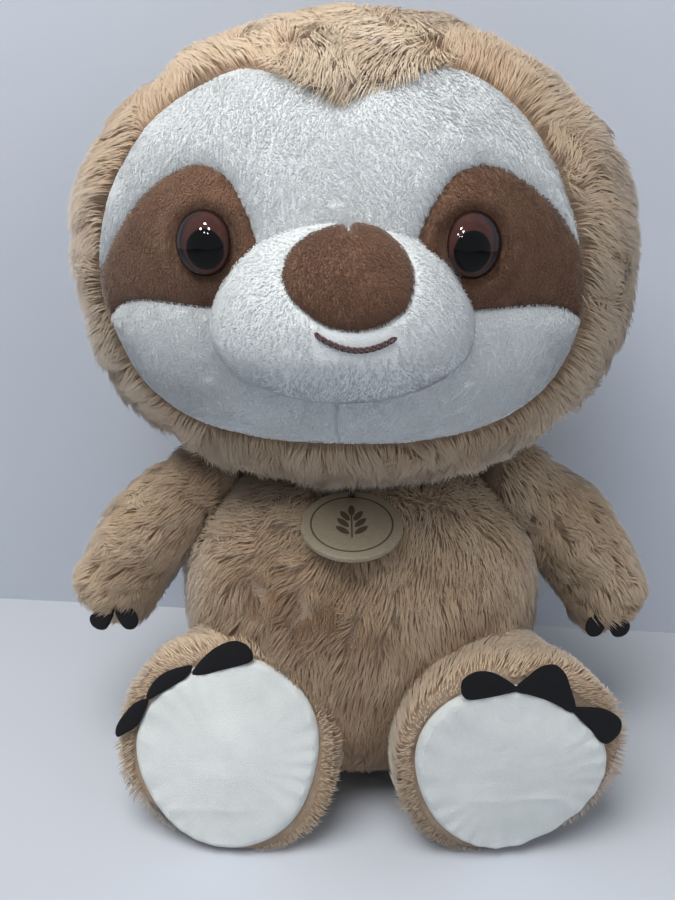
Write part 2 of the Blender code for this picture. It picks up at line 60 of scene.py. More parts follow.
# A shader socket that Python's operators work on, each by the Math node that it stands for
class Wire:
    def __init__(self, finish, socket):
        self.finish, self.socket = finish, socket

    def math(self, operation, first, second=0.0):
        return self.finish.node("Math", {"operation": operation}, {0: first, 1: second})

    def __add__(self, other):
        return self.math("ADD", self, other)

    def __radd__(self, other):
        return self.math("ADD", other, self)

    def __sub__(self, other):
        return self.math("SUBTRACT", self, other)

    def __rsub__(self, other):
        return self.math("SUBTRACT", other, self)

    def __mul__(self, other):
        return self.math("MULTIPLY", self, other)

    def __truediv__(self, other):
        return self.math("DIVIDE", self, other)

    def __pow__(self, other):
        return self.math("POWER", self, other)

    def __abs__(self):
        return self.math("ABSOLUTE", self)

    def __lt__(self, other):
        return self.math("LESS_THAN", self, other)


# A node tree and the one method that adds any node to it
class Graph:
    def __init__(self, tree):
        self.tree = tree

    def node(self, kind, settings=None, sockets=None, output=0):
        made = self.tree.nodes.new("ShaderNode" + kind)
        for name, value in (settings or {}).items():
            if name == "stops":
                ends = made.color_ramp.elements
                ends[0].position, ends[0].color = value[0]
                ends[1].position, ends[1].color = value[-1]
                for place, tint in value[1:-1]:
                    ends.new(place).color = tint
            else:
                setattr(made, name, value)
        for name, value in (sockets or {}).items():
            if isinstance(value, Wire):
                self.tree.links.new(value.socket, made.inputs[name])
            else:
                made.inputs[name].default_value = value
        return None if output is None else Wire(self, made.outputs[output])

    def mix(self, share, first, second, way="MIX"):
        return self.node("Mix", {"data_type": "RGBA", "blend_type": way}, {0: share, 6: first, 7: second}, 2)

    def ramp(self, value, *stops):
        return self.node("ValToRGB", {"stops": stops}, {0: value})

    def step(self, value, low, high):
        return self.node("MapRange", {"interpolation_type": "SMOOTHSTEP"}, {0: value, 1: low, 2: high})

    def place(self, scale=(1, 1, 1)):
        return self.node("Mapping", {}, {0: self.node("TexCoord", output=3), 3: scale})

    def noise(self, where, scale, detail=3.0, roughness=0.55):
        return self.node("TexNoise", {}, {"Vector": where, "Scale": scale, "Detail": detail, "Roughness": roughness})

    def flat(self, name):
        parts = self.node("UVMap", {"uv_map": name})
        return [self.node("SeparateXYZ", {}, {0: parts}, axis) for axis in range(2)]

    def bump(self, height, depth, strength=1.0):
        return self.node("Bump", {}, {"Height": height, "Distance": depth, "Strength": strength})


# A material on Blender's main shader
class Finish(Graph):
    def __init__(self, name, slotName, **plain):
        self.slotName = slotName
        self.material = bpy.data.materials.new(name)
        self.material.use_nodes = True
        super().__init__(self.material.node_tree)
        self.shader = self.tree.nodes["Principled BSDF"]
        for socket, value in plain.items():
            self.shader.inputs[socket.replace("_", " ")].default_value = value

    def feed(self, **wires):
        for name, wire in wires.items():
            self.tree.links.new(wire.socket, self.shader.inputs[name.replace("_", " ")])
        return self


# Fur, whose strands carry their shade across the map and their length up it
def furFinish(name, slotName, stops, root, sheen=0.45):
    finish = Finish(name, slotName, Roughness=0.85, Specular_IOR_Level=0.15, Sheen_Weight=sheen, Sheen_Roughness=0.5)
    shade, along = finish.flat("OFBake")
    tint = finish.ramp(shade, *stops)
    # Each strand is painted darker towards its root by the root's tint: painted shade deep in the coat
    deep = finish.mix(0.8, tint, root, "MULTIPLY")
    return finish.feed(Base_Color=finish.mix(finish.step(along, 0.0, 0.75), deep, tint))


# The fur's tints by tone, and the root's tint, which paints the shade deep in the coat
furTints = {
    "shades": ((0.0, paint(138, 106, 76)), (0.35, paint(195, 169, 140)), (0.7, paint(216, 196, 170)),
               (1.0, paint(234, 219, 200))),
    "root": paint(212, 186, 164),
}
tanFur = furFinish("tanFur", "tan_plush", furTints["shades"], furTints["root"])

# The backing under the fur, painted darker as the shade deep in the coat, with the same mottle
tanBacking = Finish("tanBacking", "tan_plush", Roughness=0.95, Specular_IOR_Level=0.1)
mottle = tanBacking.noise(tanBacking.place(), 120.0)
tanBacking.feed(
    Base_Color=tanBacking.ramp(mottle, (0.3, paint(150, 131, 112)), (0.7, paint(174, 154, 134))),
    Normal=tanBacking.bump(tanBacking.noise(tanBacking.place(), 700.0), 0.0006),
)


# Short plush: brushed patches over the nap's fine grain
def plushFinish(name, slotName, low, high, grain, patch, sheen):
    finish = Finish(name, slotName, Roughness=0.9, Specular_IOR_Level=0.2, Sheen_Weight=sheen, Sheen_Roughness=0.5)
    where = finish.place()
    brushed = finish.noise(where, patch, 4.0, 0.6)
    nap = finish.noise(where, grain, 2.0, 0.7)
    mixed = brushed * 0.6 + nap * 0.4
    return finish.feed(
        Base_Color=finish.ramp(mixed, (0.36, low), (0.64, high)),
        Roughness=brushed * 0.15 + 0.8,
        Normal=finish.bump(nap + brushed * 0.8, 0.0005, 0.8),
    )


whitePlush = plushFinish("whitePlush", "white_plush", paint(212, 217, 219), paint(226, 231, 232), 1400.0, 90.0, 0.2)
brownPlush = plushFinish("brownPlush", "brown_plush", paint(92, 64, 48), paint(128, 94, 72), 1400.0, 110.0, 0.2)
soleVelour = plushFinish("soleVelour", "sole_velour", paint(210, 215, 214), paint(224, 229, 228), 2200.0, 40.0, 0.15)
blackFelt = plushFinish("blackFelt", "black_felt", paint(4, 4, 8), paint(11, 11, 17), 2600.0, 300.0, 0.02)
whiteShades = ((0.0, paint(168, 175, 186)), (0.5, paint(221, 226, 228)), (1.0, paint(232, 237, 238)))
brownShades = ((0.0, paint(92, 64, 48)), (1.0, paint(150, 114, 90)))
# The fuzz's root tints paint the shade deep in the nap too
whiteFuzz = furFinish("whiteFuzz", "white_plush", whiteShades, paint(234, 237, 239), 0.25)
brownFuzz = furFinish("brownFuzz", "brown_plush", brownShades, paint(170, 140, 118), 0.35)
fibreFill = plushFinish("fibreFill", "fibre_fill", paint(225, 225, 220), paint(242, 242, 238), 500.0, 80.0, 0.2)


# Numbers that wander smoothly through space: each point mixes the hashed values of its cell's eight corners
def drift(points, size, seed):
    scaled = points / size + 1000.0
    cell = np.floor(scaled).astype(np.int64)
    share = scaled - cell
    share = share * share * (3 - 2 * share)
    total = np.zeros(len(points))
    for corner in range(8):
        offset = np.array([corner & 1, corner >> 1 & 1, corner >> 2 & 1])
        key = (cell + offset) @ np.array([73856093, 19349663, 83492791]) + seed * 1013904223
        key = (key ^ (key >> 13)) * 1274126177 & 0x7FFFFFFF
        value = (key ^ (key >> 16)) % 65536 / 65535
        total += value * np.where(offset, share, 1 - share).prod(-1)
    return total * 2 - 1


def driftVector(points, size, seed):
    return np.stack([drift(points, size, seed + k) for k in range(3)], -1)


def unit(vectors):
    return vectors / np.maximum(np.linalg.norm(vectors, axis=-1, keepdims=True), 1e-12)


# Angles once round in equal steps, and the ways that angles point
def circle(count):
    return np.linspace(0, 2 * pi, count + 1)[:-1]


def ways(angles):
    return np.stack((np.cos(angles), np.sin(angles)), -1)


# Shares from a middle, 0, out to a rim, 1, packed towards the rim
def packed(count):
    return np.sin(np.linspace(0, pi / 2, count + 1))[1:]


# 0 before low, 1 after high, and level at both
def ease(values, low, high):
    share = np.clip((values - low) / (high - low), 0, 1)
    return share * share * (3 - 2 * share)


# A frame's turn and place, as numpy applies them to points and to directions
def stand(matrix):
    table = np.array(matrix)
    return lambda points: points @ table[:3, :3].T + table[:3, 3]


def turned(matrix):
    table = np.array(matrix)
    return lambda vectors: vectors @ table[:3, :3].T


# The other way round: points as a frame sees them from its own origin
def seenFrom(matrix):
    table = np.array(matrix)
    return lambda points: (points - table[:3, 3]) @ table[:3, :3]


# A skin's grid of points: rows from one share to another, and columns once round. A closed one leaves out the
# rows at its poles, which get points of their own, and the last column, which is the first.
def gridOf(skin, first, last, rows, columns, closed=False, poles=(1, -1)):
    shares, turns = np.linspace(first, last, rows + 1), np.linspace(0, 2 * pi, columns + 1)
    if closed:
        shares, turns = shares[poles[0]:poles[1]], turns[:-1]
    return skin(*np.meshgrid(shares, turns, indexing="ij"))


# Four-sided faces between the first so many rows of a grid, whose columns go round, and the rows after them
def gridFaces(spans, rows, columns):
    row, column = np.mgrid[0:spans, 0:columns]
    nextRow, after = (row + 1) % rows, (column + 1) % columns
    corners = (row * columns + column, row * columns + after, nextRow * columns + after, nextRow * columns + column)
    return np.stack(corners, -1).reshape(-1, 4)


# Faces that join rings of points, row by row, and close each end with its own point
def ringFaces(rows, columns):
    quads = gridFaces(rows - 1, rows, columns)
    here = np.arange(columns)
    after, start = (here + 1) % columns, rows * columns
    low = np.stack((np.full(columns, start), after, here), -1)
    high = np.stack((np.full(columns, start + 1), start - columns + here, start - columns + after), -1)
    return quads, np.vstack((low, high))


def makeMesh(name, points, faceSets, chart=None, chartName="map"):
    mesh = bpy.data.meshes.new(name)
    corners = np.concatenate([faces.ravel() for faces in faceSets]).astype(np.int32)
    sizes = np.concatenate([np.full(len(faces), faces.shape[1]) for faces in faceSets])
    mesh.vertices.add(len(points))
    mesh.vertices.foreach_set("co", points.astype(np.float32).ravel())
    mesh.loops.add(len(corners))
    mesh.loops.foreach_set("vertex_index", corners)
    mesh.polygons.add(len(sizes))
    mesh.polygons.foreach_set("loop_start", (np.cumsum(sizes) - sizes).astype(np.int32))
    mesh.update(calc_edges=True)
    if chart is not None:
        layer = mesh.uv_layers.new(name=chartName)
        layer.uv.foreach_set("vector", chart[corners].astype(np.float32).ravel())
    mesh.shade_smooth()
    return mesh


def addPiece(name, mesh, finish, body, *nodes, fill=None):
    piece = bpy.data.objects.new(name, mesh)
    bpy.context.collection.objects.link(piece)
    mesh.materials.append(finish.material)
    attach(piece, body)
    if nodes:
        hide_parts(*nodes)
    return piece


# A closed skin of rings between two poles
def ringMesh(name, rings, low, high, chart=None):
    points = np.vstack((rings.reshape(-1, 3), [low], [high]))
    return makeMesh(name, points, ringFaces(*rings.shape[:2]), chart)


# Roots spread evenly over a skin, from a grid of its points: each cell gets its share by area and by how
# much of it is kept, and a root's place in its cell is picked at random
def scatter(grid, count, seed, keep=None):
    chance = np.random.default_rng(seed)
    corner, right, up, far = grid[:-1, :-1], grid[:-1, 1:], grid[1:, :-1], grid[1:, 1:]
    across = (np.cross(far - corner, up - right) / 2).reshape(-1, 3)
    middle = ((corner + far) / 2).reshape(-1, 3)
    area = np.linalg.norm(across, axis=-1)
    if keep is not None:
        area = area * keep(middle, unit(across))
    total = np.cumsum(area)
    cell = np.searchsorted(total, (np.arange(count) + chance.random(count)) / count * total[-1])
    cell = np.minimum(cell, len(area) - 1)
    a, b = chance.random((2, count, 1))
    corners = [part.reshape(-1, 3)[cell] for part in (corner, right, up, far)]
    place = (corners[0] * (1 - a) + corners[1] * a) * (1 - b) + (corners[2] * (1 - a) + corners[3] * a) * b
    return place, unit(across)[cell]


# Strands: each is a three-sided spindle that bends once. Its root is a point in the skin, its middle ring is
# the widest, and its tip is a point. The chart's first number is its shade and the second runs to its tip.
# Its shading leans to the way the skin faces, so that a coat is lit as the soft swell that it covers.
def strandMesh(name, root, middle, tip, width, shade, facing):
    count = len(root)
    axis = unit(tip - root)
    side = unit(np.cross(axis, np.where(np.abs(axis[:, 2:]) < 0.9, (0, 0, 1), (1, 0, 0))))
    angles = (np.arange(3) * 2 * pi / 3)[:, None]
    ring = side[:, None] * np.cos(angles) + np.cross(axis, side)[:, None] * np.sin(angles)
    points = np.concatenate((root[:, None], middle[:, None] + ring * width[:, None, None] / 2, tip[:, None]), 1)
    start = (np.arange(count) * 5)[:, None, None]
    faces = (start + np.array([[0, 2, 1], [0, 3, 2], [0, 1, 3], [4, 1, 2], [4, 2, 3], [4, 3, 1]])).reshape(-1, 3)
    chart = np.empty((count, 5, 2))
    chart[..., 0] = np.clip(shade, 0.02, 0.98)[:, None] + np.array([0, -1, 0, 1, 0]) * 0.008
    chart[..., 1] = np.array([0.02, 0.50, 0.52, 0.50, 0.98])
    mesh = makeMesh(name, points.reshape(-1, 3), [faces], chart.reshape(-1, 2), "OFBake")
    around = unit(ring * 0.28 + facing[:, None])
    swell = np.concatenate((facing[:, None], around, unit(facing + axis * 0.3)[:, None]), 1)
    mesh.normals_split_custom_set_from_vertices(swell.reshape(-1, 3).tolist())
    return mesh


# Fur from roots. Each strand belongs to the tuft of the nearest of its coat's middles. It leaves the skin at
# the rise's angle and bends down to the lay's angle, along its tuft's way: the comb, a drift and the tuft's
# own turn, as strong as mess says. Its tip is drawn to the tuft's tip, and strands at a tuft's rim are shorter.
# Low hills lift the roots, and nothing goes under the floor. Labels, where given, part one coat into pieces.
def growFur(name, root, facing, comb, look, seed, body, finish,
            shift=0.0, scale=1.0, upright=0.0, mess=1.0, labels=None, floor=0.0008):
    chance = np.random.default_rng(seed)
    count = len(root)
    hills = drift(root, look["hill"], seed + 30) * 0.7 + drift(root, look["hill"] * 0.45, seed + 31) * 0.3
    root = root + facing * (look["swell"] * hills)[:, None]
    settings = (scale, upright, mess, shift)
    scale, upright, mess, shift = (np.broadcast_to(np.asarray(part, float), (count,)) for part in settings)
    tufts = chance.choice(count, max(4, count // look["perTuft"]), replace=False)
    nearest = np.empty(count, int)
    for part in np.array_split(np.arange(count), max(1, count // 1500)):
        nearest[part] = (((root[part, None] - root[None, tufts]) ** 2).sum(-1)).argmin(1)
    centre = tufts[nearest]
    spread = root - root[centre]
    rim = np.linalg.norm(spread, axis=-1)
    rim = ease(rim / (1.6 * np.median(rim)), 0.5, 1.3)

    own = chance.normal(size=(len(tufts), 3))[nearest]
    ruffle = look["ruffle"]
    wander = look["wander"] * (driftVector(root, ruffle, seed) + 0.5 * driftVector(root, ruffle * 0.4, seed + 5))
    way = unit(comb) + wander + own * (look["part"] * mess)[:, None] + chance.normal(size=(count, 3)) * look["stray"]
    way = unit(way - facing * (way * facing).sum(-1, keepdims=True))
    rise = look["rise"] + chance.normal(size=len(tufts))[nearest] * look["rough"] * mess
    rise = rise + (80 - look["rise"]) * upright
    lay = look["lay"] + (55 - look["lay"]) * upright + chance.normal(size=count) * 4
    rise, lay = np.radians(np.clip(rise, 4, 85))[:, None], np.radians(lay)[:, None]
    length = look["length"] * scale * (1 + 0.16 * drift(root, look["ruffle"] * 0.6, seed + 9))
    length = (length * (1 - 0.22 * rim) * (0.82 + 0.26 * chance.random(count)))[:, None]
    middle = root + (way * np.cos(rise) + facing * np.sin(rise)) * length * 0.5
    tip = middle + (way * np.cos(lay) + facing * np.sin(lay)) * length * 0.5
    tip[:, 2] -= look["droop"] * length[:, 0]
    pull = look["pull"] * np.minimum(1, scale) * np.clip(mess, 0.3, 1)
    tip += (tip[centre] + spread * 0.35 - tip) * pull[:, None]
    middle += (middle[centre] + spread * 0.8 - middle) * look["pull"] * 0.4
    for part in (root, middle, tip):
        part[:, 2] = np.maximum(part[:, 2], floor)

    # Tone wanders at random by tuft and by strand. Strands at a tuft's rim are painted darker, as painted shade in the
    # crevices between tufts, and the tone follows the hills: lighter on them and darker in the dips, as painted light
    # and shade.
    tone = 0.07 * (chance.random(len(tufts))[nearest] * 2 - 1) + 0.06 * (chance.random(count) * 2 - 1) - 0.10 * rim
    tone += 0.16 * drift(root, 0.035, seed + 20) + 0.10 * drift(root, 0.012, seed + 21)
    tone = 0.5 + look["tone"] * (tone + 0.10 * hills) + shift
    width = look["width"] * (0.75 + 0.5 * chance.random(count))
    for label in (np.unique(labels) if labels is not None else [""]):
        part = labels == label if labels is not None else np.ones(count, bool)
        mesh = strandMesh(name + label, root[part], middle[part], tip[part], width[part], tone[part], facing[part])
        addPiece(name + label, mesh, finish, body)
        print("fur", name + label, int(part.sum()))


# Forms. A form has half its width and depth, its rise and fall from its widest level, and the power of
# each profile. At a slope and a turn: reach = cos(slope)^(2/power) scales the plan's ellipse, and
# climb = |sin(slope)|^(2/power) scales the rise or the fall.
headForm = (0.1185, 0.086, 0.093, 0.098, 2, 2.3)
muzzleForm = (0.048, 0.041, 0.041, 0.025, 2, 2)
bodyForm = (0.086, 0.076, 0.086, 0.0625, 3.2, 2.5)
neckPlace = Matrix.Translation((-0.006, 0, 0.154))
headPlace = Matrix.Translation((-0.006, 0, 0.247)) @ Matrix.Rotation(radians(-4.5), 4, "Z")
muzzlePlace = headPlace @ Matrix.Translation((0.002, -0.074, -0.019)) @ Matrix.Rotation(radians(6), 4, "Z")
bodyPlace = Matrix.Translation((0, 0, 0.062))


def formSkin(form, slope, turn, inset=0.0):
    wide, deep, rise, fall, powerUp, powerDown = form
    power = np.where(slope > 0, powerUp, powerDown)
    reach = np.cos(slope) ** (2 / power)
    climb = np.abs(np.sin(slope)) ** (2 / power)
    height = climb * np.where(slope > 0, rise - inset, inset - fall)
    return np.stack(((wide - inset) * reach * np.cos(turn), (deep - inset) * reach * np.sin(turn), height), -1)


def formGrid(form, rows, columns, inset=0.0, closed=False):
    return gridOf(lambda slope, turn: formSkin(form, slope, turn, inset), -pi / 2, pi / 2, rows, columns, closed)


# The front of a form at a place seen from the front: how far back it lies and the way it faces
def frontOf(form, x, z):
    wide, deep, rise, fall, powerUp, powerDown = form

    def depth(x, z):
        power = np.where(z > 0, powerUp, powerDown)
        climb = np.clip(np.abs(z) / np.where(z > 0, rise, fall), 0, 1)
        reach = (1 - climb**power) ** (1 / power)
        return -deep * np.sqrt(np.maximum(reach**2 - (x / wide) ** 2, 1e-4))

    fine = 1e-4
    y = depth(x, z)
    slopeX = (depth(x + fine, z) - depth(x - fine, z)) / (2 * fine)
    slopeZ = (depth(x, z + fine) - depth(x, z - fine)) / (2 * fine)
    return np.stack((x, y, z), -1), unit(np.stack((slopeX, -np.ones_like(x), slopeZ), -1))


# An outline made round: a Catmull-Rom curve through its points, each stretch in equal steps
def rounded(outline, steps=8):
    points = np.asarray(outline, float)
    before, after, last = np.roll(points, 1, 0), np.roll(points, -1, 0), np.roll(points, -2, 0)
    t = (np.arange(steps) / steps)[:, None, None]
    curve = 0.5 * (2 * points + (after - before) * t + (2 * before - 5 * points + 4 * after - last) * t**2
                   + (3 * points - before - 3 * after + last) * t**3)
    return curve.transpose(1, 0, 2).reshape(-1, 2)


# How far points lie from a line of points, by the nearest place on each of its stretches
def gapTo(line, points, closed=True):
    start = np.asarray(line, float)
    stretch = (np.roll(start, -1, 0) - start)[: None if closed else -1]
    start = start[: len(stretch)]
    flat = points.reshape(-1, 2)
    gaps = []
    for part in np.array_split(flat, max(1, len(flat) // 4000)):
        away = part[:, None] - start
        share = np.clip((away * stretch).sum(-1) / np.maximum((stretch**2).sum(-1), 1e-12), 0, 1)
        gaps.append(np.linalg.norm(away - stretch * share[..., None], axis=-1).min(1))
    return np.concatenate(gaps).reshape(points.shape[:-1])


# Whether points lie inside an outline: a ray along +X crosses it an odd number of times
def inside(outline, points):
    start = np.asarray(outline, float)
    end = np.roll(start, -1, 0)
    x, z = points.reshape(-1, 2).T[..., None]
    crossing = (start[:, 1] > z) != (end[:, 1] > z)
    rise = np.where(end[:, 1] == start[:, 1], 1e-12, end[:, 1] - start[:, 1])
    hits = crossing & (x < start[:, 0] + (z - start[:, 1]) / rise * (end[:, 0] - start[:, 0]))
    return (hits.sum(1) % 2 == 1).reshape(points.shape[:-1])


# How far an outline reaches from a middle at each angle: the nearest crossing of the ray
def reachOf(outline, middle, angles):
    start = np.asarray(outline, float) - middle
    stretch = np.roll(start, -1, 0) - start
    way = ways(angles)[:, None]
    cross = way[..., 0] * stretch[:, 1] - way[..., 1] * stretch[:, 0]
    cross = np.where(np.abs(cross) < 1e-12, 1e-12, cross)
    far = (start[:, 0] * stretch[:, 1] - start[:, 1] * stretch[:, 0]) / cross
    along = (start[:, 0] * way[..., 1] - start[:, 1] * way[..., 0]) / cross
    return np.where((along >= -1e-9) & (along <= 1 + 1e-9) & (far > 0), far, np.inf).min(1)


sides = (("Left", -1), ("Right", 1))

# Floor, wall and lights
studio = {"floor": paint(199, 205, 214), "wall": paint(196, 203, 214), "cloud": paint(180, 188, 204),
          "wallBack": 0.0985, "wallTurn": -5.5, "wallHalf": 0.7, "wallHeight": 1, "ambient": 0.22}


# The wall shows from its front only, and lets the light through, so that it hides nothing from behind
def stagePlane(name, corners, tint, oneSided=False):
    mesh = bpy.data.meshes.new(name)
    mesh.from_pydata(corners, [], [(0, 1, 2, 3)])
    finish = Finish(name, "", Roughness=0.8, Specular_IOR_Level=0.1)
    cloud = finish.noise(finish.place(), 3.0, 2.0)
    finish.feed(Base_Color=finish.mix(cloud * 0.1, tint, studio["cloud"]))
    if oneSided:
        shown = finish.node("LightPath", output=0) * (1 - finish.node("NewGeometry", output=6))
        clear = finish.node("BsdfTransparent")
        both = finish.node("MixShader", {}, {0: shown, 1: clear, 2: Wire(finish, finish.shader.outputs[0])})
        finish.tree.links.new(both.socket, finish.tree.nodes["Material Output"].inputs[0])
    mesh.materials.append(finish.material)
    plane = bpy.data.objects.new(name, mesh)
    bpy.context.collection.objects.link(plane)


wallSlope = tan(radians(studio["wallTurn"]))
wallLeft, wallRight = [(x, studio["wallBack"] + x * wallSlope) for x in (-studio["wallHalf"], studio["wallHalf"])]
stagePlane("floor", [(-1.6, -1.3, 0), (1.6, -1.3, 0), (1.6, 1.6, 0), (-1.6, 1.6, 0)], studio["floor"])
wallTop = studio["wallHeight"]
stagePlane("wall", [(*wallLeft, 0), (*wallRight, 0), (*wallRight, wallTop), (*wallLeft, wallTop)], studio["wall"],
           oneSided=True)


# A sparkle is a lamp that only shines back from gloss, and the other lamps only light
def lamp(name, place, aim, size, power, tint=(1, 1, 1), sparkle=False):
    light = bpy.data.lights.new(name, "AREA")
    light.shape, light.size, light.energy, light.color = "DISK", size, power, tint
    made = bpy.data.objects.new(name, light)
    made.visible_glossy, made.visible_diffuse = sparkle, not sparkle
    made.location = place
    made.rotation_euler = (Vector(aim) - Vector(place)).to_track_quat("-Z", "Y").to_euler()
    bpy.context.collection.objects.link(made)


lamp("ceilingLamp", (-0.30, -0.40, 1.25), (0, 0, 0.15), 0.9, 15.8, (1, 0.985, 0.96))
lamp("windowLamp", (0.75, -0.90, 0.60), (0, 0, 0.14), 0.8, 2.4, (0.95, 0.97, 1))
sparkles = (((-0.42, -0.55, 1.25), 0.17, 11.0), ((-0.20, -0.80, 1.05), 0.15, 8.0), ((-0.78, -0.75, 1.05), 0.14, 7.0),
            ((-0.56, -0.95, 0.90), 0.08, 2.0), ((-0.32, -1.00, 0.86), 0.08, 2.0))
for place, size, power in sparkles:
    lamp("sparkle", place, (0, 0, 0.26), size, power, sparkle=True)

world = bpy.context.scene.world or bpy.data.worlds.new("world")
bpy.context.scene.world = world
world.use_nodes = True
world.node_tree.nodes.clear()
sky = Graph(world.node_tree)
seen = sky.node("LightPath", output=0) + sky.node("LightPath", output=3) + sky.node("LightPath", output=6)
ambient = sky.node("Background", {}, {0: (0.90, 0.93, 1.0, 1), 1: studio["ambient"]})
backdrop = sky.node("Background", {}, {0: paint(214, 219, 230), 1: 1.0})
both = sky.node("MixShader", {}, {0: seen, 1: ambient, 2: backdrop})
sky.node("OutputWorld", {}, {0: both}, None)
print("camera, stage and lamps made")

# The face's outlines, seen from the front, in shares of half the head's width and of its rise
faceShares = np.array((headForm[0], headForm[2]))
# The pile of the hood hides the mask's edge, more on the right and under the cheeks
maskRight = [
    (0, 0.645), (0.11, 0.69), (0.22, 0.74), (0.31, 0.755), (0.40, 0.72), (0.49, 0.645), (0.565, 0.55),
    (0.635, 0.42), (0.700, 0.25), (0.745, 0.075), (0.770, -0.085), (0.765, -0.20), (0.735, -0.335),
    (0.66, -0.49), (0.52, -0.61), (0.36, -0.665), (0.18, -0.69), (0, -0.69),
]
maskLeft = [
    (0.11, 0.69), (0.22, 0.74), (0.31, 0.755), (0.40, 0.72), (0.50, 0.66), (0.60, 0.57),
    (0.68, 0.45), (0.76, 0.27), (0.80, 0.08), (0.81, -0.08), (0.785, -0.20), (0.74, -0.34),
    (0.665, -0.50), (0.525, -0.62), (0.36, -0.67), (0.18, -0.69),
]
patchShares = [
    (0.43, 0.41), (0.50, 0.385), (0.585, 0.32), (0.66, 0.235), (0.73, 0.125), (0.80, 0), (0.90, -0.10),
    (0.90, -0.28), (0.80, -0.22), (0.715, -0.14), (0.62, -0.11), (0.52, -0.11), (0.38, -0.115),
    (0.22, -0.10), (0.22, 0.06), (0.245, 0.18), (0.28, 0.28), (0.33, 0.37), (0.38, 0.40),
]
# The nose's are shares of half its own width and of its height
noseShares = [
    (0.07, 0), (0.30, 0.01), (0.56, 0.06), (0.86, 0.18), (0.97, 0.31), (1.02, 0.47), (1.0, 0.62),
    (0.89, 0.77), (0.61, 0.94), (0.35, 1.0), (0.07, 1.02), (-0.24, 0.99), (-0.55, 0.92), (-0.85, 0.76),
    (-0.97, 0.54), (-0.88, 0.35), (-0.66, 0.20), (-0.38, 0.07), (-0.16, 0.02),
]
maskLine = rounded(maskRight + [(-x, z) for x, z in maskLeft[::-1]]) * faceShares
patchLines = {side: rounded([(side * x, z) for x, z in patchShares][::side]) * faceShares for side in (-1, 1)}
# The forehead's panel meets the cheeks' under the patches and the muzzle, and the cheeks meet at the chin
splitLevel = -0.105 * headForm[2]
chinSeam = np.array([(0.0, splitLevel), (0.0, -0.72 * headForm[2])])

# Eyes: a seat on the head's front and the way each looks
eyes = {"side": 0.0457, "rise": 0.012, "turn": {-1: 31, 1: 43}, "upturn": 5, "radius": 0.0115, "rim": 0.002,
        "bulge": 0.008, "shank": 0.00225, "shankEnd": -0.013}
eyePlaces = {}
for side in (-1, 1):
    seat = frontOf(headForm, np.array([side * eyes["side"]]), np.array([eyes["rise"]]))[0][0]
    sideways = Matrix.Rotation(radians(side * eyes["turn"][side]), 4, "Z")
    forwards = Matrix.Rotation(pi / 2 - radians(eyes["upturn"]), 4, "X")
    eyePlaces[side] = headPlace @ Matrix.Translation(seat) @ sideways @ forwards


# How high the face's white plush stands over the head's form: it swells from every seam, sinks under the
# patches, and the cheeks are fuller
facePlush = {"swell": 0.0030, "seamWidth": 0.0035, "sunk": 0.0030, "cheek": 0.0030}


def maskLift(flat):
    seams = np.minimum(gapTo(maskLine, flat), gapTo(chinSeam, flat, closed=False) * 1.6 + 0.0012)
    under = np.zeros(flat.shape[:-1])
    for side in (-1, 1):
        gap = gapTo(patchLines[side], flat)
        seams = np.minimum(seams, gap)
        under = np.maximum(under, ease(gap, 0, 0.002) * inside(patchLines[side], flat))
    lift = facePlush["swell"] * (1 - np.exp(-seams / facePlush["seamWidth"]))
    cheek = np.exp(-(((np.abs(flat[..., 0]) - 0.060) / 0.030) ** 2) - ((flat[..., 1] + 0.032) / 0.020) ** 2)
    lift = lift + facePlush["cheek"] * cheek * (1 - np.exp(-seams / 0.008))
    return lift * (1 - under) - facePlush["sunk"] * under


def patchLift(side):
    line = patchLines[side]

    def lift(flat):
        gap = np.minimum(gapTo(line, flat), gapTo(maskLine, flat))
        eye = np.hypot(flat[..., 0] - side * eyes["side"], flat[..., 1] - eyes["rise"])
        ring = 0.0010 * np.exp(-(((eye - 0.0145) / 0.0035) ** 2)) - 0.0016 * np.exp(-((eye / 0.0105) ** 4))
        return 0.0026 * (1 - np.exp(-gap / 0.003)) - 0.0004 + ring

    return lift


# A sewn panel on a form: rings from its middle out to its outline, packed towards the seam, lifted along
# the form's facing, then back behind it to close. It gives back its front.
def sewnPanel(name, outline, middle, surface, lift, place, rings, around, finish, node, fill, wall=0.0030):
    angles = circle(around)
    reach = reachOf(outline, middle, angles)
    shares = packed(rings)
    flat = np.asarray(middle) + shares[:, None, None] * (reach[:, None] * ways(angles))
    points, facing = surface(flat)
    front = points + facing * lift(flat)[..., None]
    backFlat = flat[::-1][::6]
    backPoints, backFacing = surface(backFlat)
    back = backPoints + backFacing * (np.minimum(lift(backFlat), 0)[..., None] - wall)
    tips = surface(np.asarray([middle], float))
    tipLift = lift(np.asarray([middle], float))
    high = tips[0][0] + tips[1][0] * tipLift[0]
    low = tips[0][0] + tips[1][0] * (min(tipLift[0], 0) - wall)
    mesh = ringMesh(name, place(np.concatenate((front, back))), place(high), place(low))
    addPiece(name, mesh, finish, "head", node, fill=fill)
    return place(front)


def onHead(flat):
    return frontOf(headForm, flat[..., 0], flat[..., 1])


fuzzBeds = []
onStandHead = stand(headPlace)
upperMask = maskLine[maskLine[:, 1] > splitLevel]
order = np.argsort(np.arctan2(upperMask[:, 1] - splitLevel, upperMask[:, 0]))
foreheadLine = np.vstack((upperMask[order], [(-0.02, splitLevel), (0.02, splitLevel)]))
